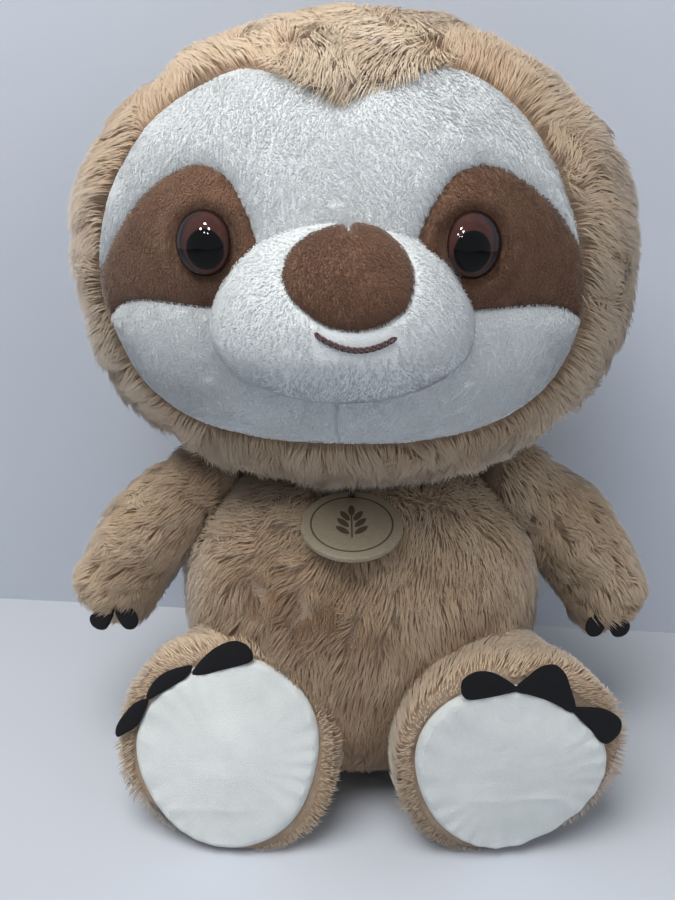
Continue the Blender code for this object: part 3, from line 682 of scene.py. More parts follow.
# The cheeks' upper edges, from the chin's seam outwards, and how far they pass that seam
seamLap = 0.0003
cheekTop = ((-seamLap / headForm[0], -0.1), (0.22, -0.095), (0.45, -0.095), (0.66, -0.10), (0.78, -0.15))
cheekLines = {}
for side in (-1, 1):
    lower = maskLine[(maskLine[:, 1] < splitLevel - 0.002) & (side * maskLine[:, 0] > 0.0006)]
    order = np.argsort(np.arctan2(lower[:, 1] - splitLevel, side * lower[:, 0]))
    edge = np.array([(side * -seamLap, -0.69 * headForm[2])])
    top = np.array([(side * x, z) for x, z in cheekTop]) * faceShares
    cheekLines[side] = np.vstack((edge, lower[order], top[::-1]))
    if side < 0:
        cheekLines[side] = cheekLines[side][::-1]

front = sewnPanel("foreheadPanel", foreheadLine, (0, 0.28 * headForm[2]), onHead, maskLift, onStandHead, 50, 260,
                  whitePlush, "forehead_panel", 0.6)
fuzzBeds.append(("foreheadFuzz", front, 14000, None))
for label, side in sides:
    middle = (side * 0.40 * headForm[0], -0.38 * headForm[2])
    front = sewnPanel(f"cheekPanel{label}", cheekLines[side], middle, onHead, maskLift, onStandHead, 36, 200,
                      whitePlush, f"cheek_panel_{label.lower()}", 0.7)
    fuzzBeds.append((f"cheekFuzz{label}", front, 8500, None))

    # The brown patch round the eye, cut off where the mask ends
    middle = (side * 0.52 * headForm[0], 0.12 * headForm[2])
    angles = circle(240)
    reach = np.minimum(reachOf(patchLines[side], middle, angles), reachOf(maskLine, middle, angles))
    line = np.asarray(middle) + reach[:, None] * ways(angles)
    front = sewnPanel(f"eyePatch{label}", line, middle, onHead, patchLift(side), onStandHead, 36, 200,
                      brownPlush, f"eye_patch_{label.lower()}", 0.5)
    fuzzBeds.append((f"patchFuzz{label}", front, 5500, side))
print("face panels made")

# Muzzle, with its nose. The nose's outline lies on a chart of the muzzle: the muzzle is squeezed to a ball and
# seen from its middle, along the way to the nose. One step on the chart is about nose["chart"] metres. A short
# dart runs down from the top of the outline.
nose = {"width": 0.043, "height": 0.030, "lift": 0.008, "back": 0.009, "swell": 0.0022, "seam": 0.0028,
        "sunk": 0.0006, "chart": 0.040, "dartDeep": 0.0024, "dartWide": 0.0013, "dartBare": 0.020, "dartLong": 0.24}
muzzleSize = np.array(muzzleForm[:3])
noseLine = rounded(noseShares) * (nose["width"] / 2, nose["height"]) + (0, nose["lift"])
fullest = sqrt(1 - (nose["back"] / muzzleForm[1]) ** 2)
across = np.hypot(noseLine[:, 0] / muzzleForm[0], noseLine[:, 1] / muzzleForm[2])
noseLine = noseLine * np.minimum(1, fullest / across)[:, None]
noseRim = frontOf(muzzleForm, noseLine[:, 0], noseLine[:, 1])[0] / muzzleSize
noseAxis = unit(np.array((0.0, -0.83, 0.60)))
noseUp = unit(np.array((0, 0, 1.0)) - noseAxis * noseAxis[2])
noseRight = np.array((1.0, 0, 0))


def noseChart(ball):
    ahead = ball @ noseAxis
    return np.stack((ball @ noseRight, ball @ noseUp), -1) / np.where(ahead > 0.2, ahead, 0.2)[..., None]


noseOutline = noseChart(unit(noseRim))
noseOutline = noseOutline[np.argsort(np.arctan2(noseOutline[:, 1], noseOutline[:, 0]))]
noseTop = noseOutline[:, 1].max()
dartLine = np.array([(0.02, noseTop), (0.04, noseTop - nose["dartLong"])])


# Back from the chart to the muzzle, and the way that the muzzle faces there
def onMuzzle(flat):
    ball = unit(noseAxis + flat[..., :1] * noseRight + flat[..., 1:] * noseUp)
    return ball * muzzleSize, unit(ball / muzzleSize)


# The nose swells from its seam as swell x (1 - exp(-gap / seam)), and the dart dents it as a bell
def noseLift(flat):
    gap = gapTo(noseOutline, flat) * nose["chart"]
    dart = np.exp(-((gapTo(dartLine, flat, closed=False) * nose["chart"] / nose["dartWide"]) ** 2))
    return nose["swell"] * (1 - np.exp(-gap / nose["seam"])) - nose["sunk"] - nose["dartDeep"] * dart


standMuzzle = stand(muzzlePlace)


# Half the muzzle's width, depth and height at points, whose upper half is higher than the lower
def muzzleReach(points):
    return np.where(points[..., 2:] > 0, muzzleSize, (*muzzleForm[:2], muzzleForm[3]))


muzzleSkin = formGrid(muzzleForm, 84, 136)
muzzleBall = muzzleSkin / muzzleReach(muzzleSkin)
muzzleFacing = unit(muzzleBall / muzzleReach(muzzleSkin))
chart = noseChart(unit(muzzleBall))
noseGap = gapTo(noseOutline, chart) * nose["chart"]
under = inside(noseOutline, chart) & (muzzleBall @ noseAxis > 0.3)
sunk = np.where(under, -0.0012, 0.0) - 0.0012 * np.exp(-((noseGap / 0.0016) ** 2))
muzzleRows = standMuzzle(muzzleSkin + muzzleFacing * sunk[..., None])
muzzleMesh = ringMesh("muzzle", muzzleRows[1:-1, :-1], muzzleRows[0, 0], muzzleRows[-1, 0])
addPiece("muzzle", muzzleMesh, whitePlush, "head", "muzzle_panel", "muzzle_stuffing", fill=0.9)
noseFront = sewnPanel("nose", noseOutline, (0, 0), onMuzzle, noseLift, standMuzzle, 36, 160,
                      brownPlush, "nose_patch", 0.8, 0.0016)

# Mouth: a row of chain stitches, each a slim loop of thread that starts inside the one before
mouth = {"width": 0.025, "aside": 0.0025, "lift": 0.0057, "sag": 0.0040, "tilt": 0.0008, "thread": 0.00040,
         "stitches": 13, "overlap": 1.25, "loop": 0.00055}
mouthYarn = Finish("mouthYarn", "mouth_yarn", Roughness=0.7, Sheen_Weight=0.3)
yarnAround, yarnAlong = mouthYarn.flat("map")
twist = mouthYarn.node("Math", {"operation": "SINE"}, {0: (yarnAlong * 9.0 + yarnAround) * 2 * pi})
mouthYarn.feed(
    Base_Color=mouthYarn.mix(twist * 0.5 + 0.5, paint(50, 10, 18), paint(88, 24, 33)),
    Normal=mouthYarn.bump(twist, 0.0002),
)


# A tube round a closed path: at each point of the path, a ring in the plane of the two ways across it
def closedTube(path, radius, around, up):
    along = unit(np.roll(path, -1, 0) - np.roll(path, 1, 0))
    side = unit(np.cross(along, up))
    over = np.cross(side, along)
    angles = circle(around)
    spokes = side[:, None] * np.cos(angles)[:, None] + over[:, None] * np.sin(angles)[:, None]
    rings = path[:, None] + radius * spokes
    count = len(path)
    row, column = np.mgrid[0:count, 0:around]
    chart = np.stack((column / around, row / count), -1)
    return rings.reshape(-1, 3), gridFaces(count, count, around)[:, ::-1], chart.reshape(-1, 2)


stitchPoints, stitchFaces, stitchCharts, used = [], [], [], 0
loopAngle = circle(24)
for number in range(mouth["stitches"]):
    middle = 2 * (number + 0.5) / mouth["stitches"] - 1
    spot = middle + np.cos(loopAngle) * mouth["overlap"] / mouth["stitches"]
    offset = np.sin(loopAngle) * mouth["loop"] * (1.15 - 0.35 * np.cos(loopAngle))
    x = mouth["aside"] + spot * mouth["width"] / 2
    z = mouth["lift"] - mouth["sag"] * (1 - spot**2) - mouth["tilt"] * spot + offset
    ball, facing = frontOf(muzzleForm, x, z)
    path = ball + facing * (0.0006 + 0.0005 * np.cos(loopAngle))[:, None]
    points, faces, chart = closedTube(path, mouth["thread"], 8, facing)
    stitchPoints.append(points)
    stitchFaces.append(faces + used)
    stitchCharts.append(chart)
    used += len(points)
mouthMesh = makeMesh("mouthStitches", standMuzzle(np.vstack(stitchPoints)), [np.vstack(stitchFaces)],
                     np.vstack(stitchCharts))
addPiece("mouthStitches", mouthMesh, mouthYarn, "head", "mouth_stitching")
print("muzzle, nose and mouth made")

# Eyes: a turned dome with a rim, over a shank that the patch hides
eyeGloss = Finish("eyeGloss", "eye_plastic", Roughness=0.3, Specular_IOR_Level=0.0,
                  Coat_Weight=1.0, Coat_Roughness=0.03, Coat_IOR=1.26)
eyeX, eyeY = eyeGloss.flat("map")
pupilReach = (((eyeX - 0.5) * 0.82) ** 2.0 + (eyeY - 0.41) ** 2.0) ** 0.5 * 2.0
rimReach = ((eyeX - 0.5) ** 2.0 + (eyeY - 0.5) ** 2.0) ** 0.5 * 2.0
streaks = eyeGloss.noise(eyeGloss.place((60, 60, 60)), 6.0, 3.0)
iris = eyeGloss.mix(streaks, paint(50, 26, 23), paint(84, 54, 49))
iris = eyeGloss.mix(eyeGloss.step(rimReach, 0.80, 1.0), iris, paint(18, 6, 7))
eyeGloss.feed(Base_Color=eyeGloss.mix(eyeGloss.step(pupilReach, 0.56, 0.63), paint(3, 3, 4), iris))
arc = np.linspace(0, pi / 2, 25)[:-1]
radii = np.concatenate(([eyes["shank"], eyes["shank"], 0.0105, 0.0115], eyes["radius"] * np.cos(arc)))
heights = np.concatenate(([eyes["shankEnd"], -0.0004, 0.0, 0.0006], eyes["rim"] + eyes["bulge"] * np.sin(arc)))
turns, levels = circle(64), np.repeat(heights[:, None], 64, 1)
rings = np.stack((radii[:, None] * np.cos(turns), radii[:, None] * np.sin(turns), levels), -1)
points = np.vstack((rings.reshape(-1, 3), [(0, 0, eyes["shankEnd"])], [(0, 0, eyes["rim"] + eyes["bulge"])]))
for label, side in sides:
    # The clear dome shows the iris below it: the chart carries each point down to the rim's level along the
    # way that it is seen from the front
    seen = np.array(eyePlaces[side].inverted() @ Vector(lookout["place"]))
    below = points[:, 2:].clip(min=0) * 0.8 * seen[:2] / seen[2]
    mesh = makeMesh(f"eye{label}", stand(eyePlaces[side])(points), ringFaces(*rings.shape[:2]),
                    0.5 + (points[:, :2] - below) / eyes["radius"] / 2)
    addPiece(f"eye{label}", mesh, eyeGloss, "head", f"eye_{label.lower()}")
washerPlastic = Finish("washerPlastic", "washer_plastic", Roughness=0.45, Specular_IOR_Level=0.4)
mottle = washerPlastic.noise(washerPlastic.place(), 300.0, 2.0)
washerPlastic.feed(
    Base_Color=washerPlastic.mix(mottle, paint(196, 195, 190), paint(216, 215, 211)),
    Roughness=0.42 + mottle * 0.1,
)
for name in ("left", "right"):
    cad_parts[f"eye_washer_{name}"].data.materials[0] = washerPlastic.material
print("eyes made")

# Skins under the fur, each on its grid and two poles, and nothing of them under the floor
floorGap = 0.0002


def skinPiece(name, grid, low, high, place, finish, body, *nodes, fill):
    rows = stand(place)(grid)
    rows[..., 2] = np.maximum(rows[..., 2], floorGap)
    low, high = (stand(place)(np.array(pole)) for pole in (low, high))
    low[2] = max(low[2], floorGap)
    addPiece(name, ringMesh(name, rows, low, high), finish, body, *nodes, fill=fill)


def formPiece(name, form, grid, inset, *rest, fill):
    skinPiece(name, grid, (0, 0, inset - form[3]), (0, 0, form[2] - inset), *rest, fill=fill)


# The head's is pressed in behind the mask
skinGrid = formGrid(headForm, 72, 120, 0.0006, closed=True)
flat = skinGrid[..., [0, 2]]
behind = inside(maskLine, flat) & (skinGrid[..., 1] < 0)
skinGrid = skinGrid * (1 - 0.055 * (behind * ease(gapTo(maskLine, flat), 0, 0.006)))[..., None]
formPiece("headSkin", headForm, skinGrid, 0.0006, headPlace, tanBacking, "head", "head_hood", "head_stuffing", fill=0.8)
bodyGrid = formGrid(bodyForm, 60, 108, 0.0004, closed=True)
formPiece("bodySkin", bodyForm, bodyGrid, 0.0004, bodyPlace, tanBacking, "torso", "body_shell", "body_stuffing",
          fill=0.7)
plugForm = (0.036, 0.036, 0.036, 0.036, 2, 2)
plugGrid = formGrid(plugForm, 24, 40, closed=True)
formPiece("neckPlug", plugForm, plugGrid, 0, neckPlace, fibreFill, "neck", "neck_stuffing", fill=0.7)

# Arms: the tube runs down from the shoulder and bows outwards, between two half balls
arm = {"shoulder": (0.074, 0.139), "out": 0.0475, "forward": 0.009, "fall": 0.051, "slack": 0.004, "root": 0.0165,
       "hand": 0.0175, "swell": 0.002, "bow": 0.005}
armPlaces, armForms, hands = {}, {}, {}
for side, slack in ((-1, 0), (1, arm["slack"])):
    reach = Vector((side * arm["out"], -arm["forward"], -arm["fall"] - slack))
    turn = Vector((0, 0, -1)).rotation_difference(reach).to_matrix().to_4x4()
    armPlaces[side] = Matrix.Translation((side * arm["shoulder"][0], 0, arm["shoulder"][1])) @ turn
    armForms[side] = reach.length
    hands[side] = Vector((side * arm["shoulder"][0], 0, arm["shoulder"][1])) + reach


# An arm's skin from its top to its hand: share 0 to 1 runs over the half ball, the tube and the other half ball
def armSkin(side, share, turn):
    length = armForms[side]
    top, hand = arm["root"], arm["hand"]
    run = share * (length + (top + hand) * pi / 2)
    topArc = np.clip(run / top, 0, pi / 2)
    handArc = np.clip((run - top * pi / 2 - length) / hand, 0, pi / 2)
    along = np.clip((run - top * pi / 2) / length, 0, 1)
    radius = top + (hand - top) * along + arm["swell"] * np.sin(pi * along)
    radius = radius * np.where(along > 0, np.cos(handArc), np.sin(topArc))
    height = np.where(along > 0, -along * length - hand * np.sin(handArc), top * np.cos(topArc))
    offset = side * arm["bow"] * np.sin(pi * along)
    return np.stack((radius * np.cos(turn) + offset, radius * np.sin(turn), height + 0 * turn), -1)


def armGrid(side, rows, columns, closed=False):
    return gridOf(lambda share, turn: armSkin(side, share, turn), 1, 0, rows, columns, closed)


# Legs: half a ball at the hip, then rings that lean back towards the sole, an egg rolled outwards
leg = {"hipInset": 0.032, "hipForward": 0.034, "hip": 0.039, "trunk": 0.0425, "edge": 0.007, "lip": 0.002, "out": 0.007,
       "heel": 0.094, "heelLift": 0.003, "soleWidth": 0.082, "soleLength": 0.084, "toe": 0.10, "ball": 0.3,
       "inner": 0.0042, "outer": 0.0058, "outerTurn": radians(72), "outerWide": 0.36, "overlap": 0.0005}
# How far each sole is rolled round and leans back
feet = {-1: (radians(37), radians(20)), 1: (radians(-22), radians(4))}


# The egg's reach at an angle: an ellipse's, a x b / |(b cos, a sin)|, whose half width grows towards the toe
def eggReach(angle, roll, extra=0.0):
    a = leg["soleWidth"] / 2 * (1 + leg["toe"] * np.sin(angle - roll)) + extra
    b = leg["soleLength"] / 2 + extra
    return a * b / np.hypot(b * np.cos(angle - roll), a * np.sin(angle - roll))


legPlaces, solePlaces, legRuns = {}, {}, {}
for side, (roll, lean) in feet.items():
    turns = circle(16)
    lowest = float(np.max(-eggReach(turns, roll) * np.sin(turns))) * cos(lean)
    forward = leg["heel"] - lowest * tan(lean) - leg["hipForward"]
    climb = lowest + leg["heelLift"] - leg["trunk"] + leg["overlap"]
    legRuns[side] = (forward, climb)
    out = atan2(side * leg["out"], leg["heel"] - leg["hipForward"])
    hip = (side * (bodyForm[0] - leg["hipInset"]), -leg["hipForward"], leg["trunk"] - leg["overlap"])
    legPlaces[side] = Matrix.Translation(hip) @ Matrix.Rotation(out, 4, "Z")
    leaning = Matrix.Rotation(pi / 2 - lean, 4, "X")
    solePlaces[side] = legPlaces[side] @ Matrix.Translation((0, -forward, climb)) @ leaning


# A leg's skin: the first shares are the half ball, and the rest runs to the sole. Each ring mixes a circle
# with the sole's egg, more and more towards the sole, and leans back as it goes. It is fuller on the inner
# side, as cos(turn)^0.7, and behind the outer claws, as a bell round their turn.
def legSkin(side, share, turn):
    roll, lean = feet[side]
    forward, climb = legRuns[side]
    arc = np.clip(share / leg["ball"], 0, 1) * pi / 2
    along = np.clip((share - leg["ball"]) / (1 - leg["ball"]), 0, 1)
    edge = 1 - leg["edge"] / forward
    eggShare = ease(along, 0.25, 0.95)
    lip = leg["lip"] * np.where(along < edge, eggShare, np.sqrt(np.clip(1 - ((along - edge) / (1 - edge)) ** 2, 0, 1)))
    trunk = leg["hip"] + (leg["trunk"] - leg["hip"]) * ease(along, 0, 0.4)
    reach = trunk * (1 - eggShare) + eggReach(turn, roll, lip) * eggShare
    outer = np.exp(-((1 - np.cos(turn - pi / 2 + side * leg["outerTurn"])) / leg["outerWide"]) ** 2)
    fuller = leg["inner"] * np.clip(-side * np.cos(turn), 0, 1) ** 0.7 + leg["outer"] * outer
    reach = reach + fuller * ease(along, 0.3, 0.7) * (1 - ease(along, 0.95, 1.0))
    bend = lean * along
    x, up = reach * np.cos(turn), reach * np.sin(turn)
    tube = np.stack((x, up * np.sin(bend) - forward * along, up * np.cos(bend) + climb * eggShare), -1)
    ball = np.stack((leg["hip"] * np.sin(arc) * np.cos(turn), leg["hip"] * np.cos(arc) + 0 * turn,
                     leg["hip"] * np.sin(arc) * np.sin(turn)), -1)
    return np.where((share < leg["ball"])[..., None], ball, tube)


def legGrid(side, rows, columns, closed=False):
    return gridOf(lambda share, turn: legSkin(side, share, turn), 0, 1, rows, columns, closed, (1, None))


for label, side in sides:
    name, (forward, climb) = label.lower(), legRuns[side]
    handEnd = -armForms[side] - arm["hand"]
    skinPiece(f"armSkin{label}", armGrid(side, 60, 64, closed=True), (0, 0, handEnd), (0, 0, arm["root"]),
              armPlaces[side], tanBacking, f"arm_{name}", f"arm_shell_{name}", f"arm_stuffing_{name}", fill=0.8)
    skinPiece(f"legSkin{label}", legGrid(side, 60, 96, closed=True), (0, leg["hip"], 0), (0, -forward, climb),
              legPlaces[side], tanBacking, f"leg_{name}", f"leg_shell_{name}", f"leg_stuffing_{name}", fill=0.9)
print("skins made")

# Soles: a pad on the sole's egg, crowned, with soft creases that the stuffing's push leaves. The seam wavers
# off the egg by so many millimetres at so many degrees round from straight up.
soleWaver = {
    -1: [(-177, -0.7), (-149, -3.0), (-102, -3.4), (-67, 1.2), (-36, 1.2), (-10, 0.0), (25, -2.4), (61, -1.2),
         (82, -1.0), (117, -2.6), (157, 0.5)],
    1: [(-180, -1.2), (-156, -1.6), (-117, 0.6), (-92, 1.2), (-76, -2.0), (-44, -6.2), (-3, -3.8), (28, -1.4),
        (48, 1.2), (72, 1.2), (100, -2.0), (144, -3.2)],
}


def soleReach(side, angle):
    turn, waver = np.array(soleWaver[side]).T
    spot = (np.degrees(angle) - 90 + 180) % 360 - 180
    return eggReach(angle, feet[side][0]) + np.interp(spot, turn, waver, period=360) / 1000


# A sole's height: the rim's round, a quarter circle, then crown x (1 - share^2), the creases and the rim's ripple
sole = {"thick": 0.0035, "crown": 0.0035, "edge": 0.0030, "crease": 0.0013, "under": 0.0003, "lowest": 0.0004}
for label, side in sides:
    turns = circle(160)
    shares = packed(48)
    reach = soleReach(side, turns)
    reach = (reach + np.roll(reach, 3) + np.roll(reach, -3) + np.roll(reach, 6) + np.roll(reach, -6)) / 5 + 0.0008
    x, y = shares[:, None] * reach * np.cos(turns), shares[:, None] * reach * np.sin(turns)
    inward = (1 - shares)[:, None] * reach
    spots = np.stack((x, y, np.full_like(x, side)), -1).reshape(-1, 3)
    folds = 1 - 2 * np.abs(drift(spots * (0.8, 1.7, 1) + drift(spots, 0.03, 8)[:, None] * 0.006, 0.034, 3))
    creases = 0.8 * drift(spots, 0.026, 5) + 0.7 * folds**3 * ease(drift(spots, 0.03, 6), -0.3, 0.5)
    creases = (creases + 0.25 * drift(spots, 0.010, 4)).reshape(x.shape)
    ripple = np.sin(turns * 23 + 3 * np.sin(turns * 3)) * 0.5 * np.exp(-inward / 0.006)
    height = sole["under"] + sole["thick"] * np.sqrt(np.clip(1 - (1 - np.clip(inward / sole["edge"], 0, 1)) ** 2, 0, 1))
    height = height + sole["crown"] * (1 - shares[:, None] ** 2)
    height = height + sole["crease"] * (creases * ease(inward, 0, 0.006) + ripple * ease(inward, 0, 0.002))
    top = np.stack((x, y, height), -1)
    under = np.stack((x[::-8], y[::-8], np.full_like(x[::-8], sole["under"])), -1)
    standSole, name = stand(solePlaces[side]), label.lower()
    rings = standSole(np.concatenate((top, under)))
    high = standSole(np.array((0, 0, sole["under"] + sole["thick"] + sole["crown"])))
    low = standSole(np.array((0, 0, sole["under"])))
    rings[..., 2] = np.maximum(rings[..., 2], sole["lowest"])
    mesh = ringMesh(f"sole{label}", rings, high, low)
    addPiece(f"sole{label}", mesh, soleVelour, f"leg_{name}", f"sole_{name}", fill=0.8)


# A felt claw is a pillow on an outline: rings from its middle out, and a thickness that falls off as
# sqrt(1 - share^4) towards the rim
def clawPiece(name, outline, place, body, node, thick=0.0024):
    line = rounded(outline, 6)
    middle = (line.max(0) + line.min(0)) / 2
    middle += (line.mean(0) - middle) * 0.6
    angles = circle(96)
    shares = packed(10)
    reach = reachOf(line, middle, angles)
    flat = middle + shares[:, None, None] * (reach[:, None] * ways(angles))[None]
    puff = thick / 2 * np.sqrt(1 - shares[:, None] ** 4 * 0.96) * np.ones_like(flat[..., 0])
    spots = np.dstack((flat, np.zeros_like(puff)))
    puff = puff * (1 + 0.10 * drift(spots.reshape(-1, 3), 0.003, 7).reshape(puff.shape))
    front, back = np.dstack((flat, thick / 2 + puff)), np.dstack((flat, thick / 2 - puff))
    rings = place(np.concatenate((front, back[::-1])))
    high, low = place(np.array((*middle, thick))), place(np.array((*middle, 0.0)))
    addPiece(name, ringMesh(name, rings, high, low), blackFelt, body, node)


# Outlines of the claws: on a foot, degrees from straight up round the sole and millimetres past its edge;
# on a hand, millimetres aside and down
footClaws = {
    -1: {
        "inner": [(26, -2.6), (16, 2.4), (7, 6.1), (-1, 8.2), (-7, 7.2), (-11, 4.4), (-12, 0.8),
                  (-5, -2.5), (7, -4.6), (18, -5.0)],
        "middle": [(24, 0.4), (32, 2.4), (42, 4.0), (52, 3.6), (59, 1.0), (51, -1.6), (40, -3.1), (30, -3.0)],
        "outer": [(58, 0.8), (64, 4.8), (73, 7.3), (80, 8.6), (84, 7.2), (81, 3.6), (76, 0.0), (67, -1.0)],
    },
    1: {
        "inner": [(-1, -2.4), (8, 4.0), (14, 7.6), (20, 9.2), (26, 8.2), (29, 4.8), (30, 1.0),
                  (27, -2.0), (16, -4.2), (6, -4.2)],
        "middle": [(1, -2.8), (-6, 3.6), (-11, 8.0), (-17, 10.2), (-23, 8.4), (-29, 4.2), (-41, -2.8),
                   (-42, -6.2), (-32, -6.4), (-21, -5.8), (-10, -5.0)],
        "outer": [(-40, -4.6), (-47, -0.2), (-53, 3.6), (-60, 6.7), (-66, 8.0), (-72, 5.6), (-76, 0.0),
                  (-72, -3.6), (-63, -5.0), (-51, -6.0)],
    },
}
handClaws = {
    "inner": [(-5.6, 7.0), (-2.6, 3.2), (1.8, 3.4), (5.4, 2.0), (5.6, 4.4), (3.4, 9.0), (0.2, 12.6),
              (-3.6, 13.0), (-5.8, 10.6)],
    "outer": [(5.6, 7.0), (2.6, 4.6), (-1.8, 3.6), (-5.4, -0.4), (-6.6, 0.0), (-6.0, 5.0), (-4.4, 9.6),
              (-2.2, 13.0), (1.6, 13.0), (4.8, 10.6)],
}
claws = {"lift": 0.0032, "apart": {-1: 0.0118, 1: 0.0100}, "nudge": {-1: 0.0012, 1: -0.0022}, "rise": 0.0135,
         "forward": 0.0148, "tip": 32}
for label, side in sides:
    name, roll = label.lower(), feet[side][0]
    for part, outline in footClaws[side].items():
        turn, past = np.radians(90 + np.array(outline)[:, 0]), np.array(outline)[:, 1] / 1000
        reach = eggReach(turn, roll) + past
        outline = np.stack((reach * np.cos(turn), reach * np.sin(turn)), -1)
        place = solePlaces[side] @ Matrix.Translation((0, 0, claws["lift"]))
        clawPiece(f"footClaw{label}{part.title()}", outline, stand(place), f"leg_{name}", f"foot_claw_{name}_{part}")
    # Two claws hang from the seam under the hand, tipped forwards
    for part, outline in handClaws.items():
        offset = -1 if part == "inner" else 1
        spot = Vector((side * offset * claws["apart"][side] / 2 + claws["nudge"][side], -claws["forward"],
                       claws["rise"] - arm["hand"]))
        place = Matrix.Translation(hands[side] + spot) @ Matrix.Rotation(pi / 2 - radians(claws["tip"]), 4, "X")
        clawPiece(f"handClaw{label}{part.title()}", np.array(outline) * (side * 0.001, -0.001), stand(place),
                  f"arm_{name}", f"hand_claw_{name}_{part}")
print("soles and claws made")

# Hang tag: a round card with a soft edge and a hole, printed with a ring and a sprig of leaves
tag = {"radius": 0.0215, "thick": 0.0024, "hole": 0.0015, "holeInset": 0.0024, "edge": 0.0004}
tagPlace = Matrix.Translation((-0.006, -0.03602, 0.14842)) @ Matrix.Rotation(radians(16), 4, "X")
tagCard = Finish("tagCard", "tag_wood", Roughness=0.55, Specular_IOR_Level=0.35)
grain = tagCard.noise(tagCard.place((1, 9, 1)), 500.0, 4.0)
tagX, tagY = tagCard.flat("map")
tagX, tagY = (tagX - 0.5) * 2.0, (tagY - 0.5) * 2.0
fromMiddle = (tagX**2.0 + tagY**2.0) ** 0.5


# A leaf's inside, where (along / length)^2 + (|across| / width)^1.4 is under 1
def leafOf(x, y, angle, length, width):
    c, s = cos(radians(angle)), sin(radians(angle))
    u, v = (tagX - x) * c + (tagY - y) * s, (tagY - y) * c - (tagX - x) * s
    return ((u / length) ** 2.0 + (abs(v) / width) ** 1.4) < 1.0


ink = (abs(fromMiddle - 0.80) < 0.018) + (abs(tagX) < 0.016) * (abs(tagY + 0.06) < 0.36)
leaves = ((0.17, 0.02, 50), (-0.17, 0.02, 130), (0.18, -0.20, 42), (-0.18, -0.20, 138), (0.13, 0.22, 60),
          (-0.13, 0.22, 120), (0, 0.38, 90))
for x, y, angle in leaves:
    ink = ink + leafOf(x, y, angle, 0.17, 0.07)
ink = tagCard.step(ink, 0.2, 0.6)
card = tagCard.ramp(grain, (0.35, paint(134, 123, 103)), (0.65, paint(156, 145, 124)))
tagCard.feed(Base_Color=tagCard.mix(ink, card, paint(74, 60, 46)), Normal=tagCard.bump(grain - ink * 0.5, 0.0001))

# The card's profile is carried round its middle, from the rim of the hole's place inwards. Its grid is made
# round the hole instead: each ray runs from the hole's edge out to the rim.
holeAt = np.array((0.0, tag["radius"] - tag["holeInset"]))
angles = circle(160)
rimLine = tag["radius"] * ways(circle(240))
way = ways(angles)
reach = reachOf(rimLine, holeAt, angles)
inner, outer = np.full_like(reach, tag["hole"]), reach
half, edge = tag["thick"] / 2, tag["edge"]
spots = [(inner, -half + edge), (inner, half - edge), (inner + edge, half)]
spots += [(inner + edge + (outer - inner - 2 * edge) * k / 6, half) for k in range(1, 6)]
spots += [(outer - edge, half), (outer - edge * 0.3, half - edge * 0.3), (outer, half - edge), (outer, edge - half),
          (outer - edge * 0.3, edge * 0.3 - half), (outer - edge, -half), (inner + edge, -half)]
profile = []
for spot, height in spots:
    profile.append(np.concatenate((holeAt + spot[:, None] * way, np.full((len(angles), 1), height)), -1))
profile = np.stack(profile)
quads = gridFaces(len(profile), *profile.shape[:2])[:, [0, 3, 2, 1]]
flatTag = profile.reshape(-1, 3)
tagMiddle = np.array((0, -tag["radius"] - tag["holeInset"], 0))
tagMesh = makeMesh("hangTag", stand(tagPlace)(flatTag + tagMiddle), [quads], 0.5 + flatTag[:, :2] / tag["radius"] / 2)
tagMesh.set_sharp_from_angle(angle=radians(50))
addPiece("hangTag", tagMesh, tagCard, "tag", "hang_tag")

loopCord = Finish("loopCord", "loop_cord", Roughness=0.7, Sheen_Weight=0.2)
cordAround, cordAlong = loopCord.flat("map")
twist = loopCord.node("Math", {"operation": "SINE"}, {0: (cordAlong * 14.0 + cordAround) * 2 * pi})
loopCord.feed(
    Base_Color=loopCord.mix(twist * 0.5 + 0.5, paint(38, 24, 46), paint(74, 54, 84)),
    Normal=loopCord.bump(twist, 0.00015),
)
angles = circle(64)
loopPath = np.stack((0 * angles, 0.0024 * (np.cos(angles) - 1), 0.0024 * np.sin(angles)), -1)
points, faces, chart = closedTube(loopPath, 0.00045, 10, np.array((1.0, 0, 0)))
addPiece("tagLoop", makeMesh("tagLoop", stand(tagPlace)(points), [faces], chart), loopCord, "tag", "tag_loop")
print("tag made")

# Fur. Each coat has its look, in metres and degrees, and the roots are spread over the skins.
lookNames = ("length", "rise", "lay", "wander", "ruffle", "part", "rough", "stray", "droop", "perTuft", "pull",
             "width", "tone", "swell", "hill")
coatRows = {
    "head": (0.0140, 40, 12, 0.85, 0.022, 0.32, 7, 0.13, 0.10, 52, 0.18, 0.00046, 0.9, 0.0022, 0.020),
    "body": (0.0125, 34, 9, 0.55, 0.026, 0.26, 5, 0.13, 0.05, 50, 0.16, 0.00046, 0.9, 0.0016, 0.022),
    "arm": (0.0112, 38, 11, 0.55, 0.018, 0.34, 7, 0.13, 0.04, 42, 0.22, 0.00046, 0.9, 0.0014, 0.016),
    "leg": (0.0096, 24, 7, 0.45, 0.026, 0.12, 3, 0.12, 0.0, 60, 0.05, 0.00050, 0.5, 0.0011, 0.018),
    "white": (0.0019, 26, 11, 0.70, 0.012, 0.14, 3, 0.16, 0.0, 22, 0.10, 0.00034, 0.45, 0.0, 0.02),
    "brown": (0.0017, 44, 26, 0.60, 0.014, 0.26, 6, 0.30, 0.0, 16, 0.15, 0.00032, 1.4, 0.0, 0.02),
}
coats = {name: dict(zip(lookNames, values)) for name, values in coatRows.items()}
inHead, inMuzzle = stand(headPlace.inverted()), seenFrom(muzzlePlace)
neckMiddle = (-0.006, 0, 0.154)
hanging = np.array((0, 0, -1.0))


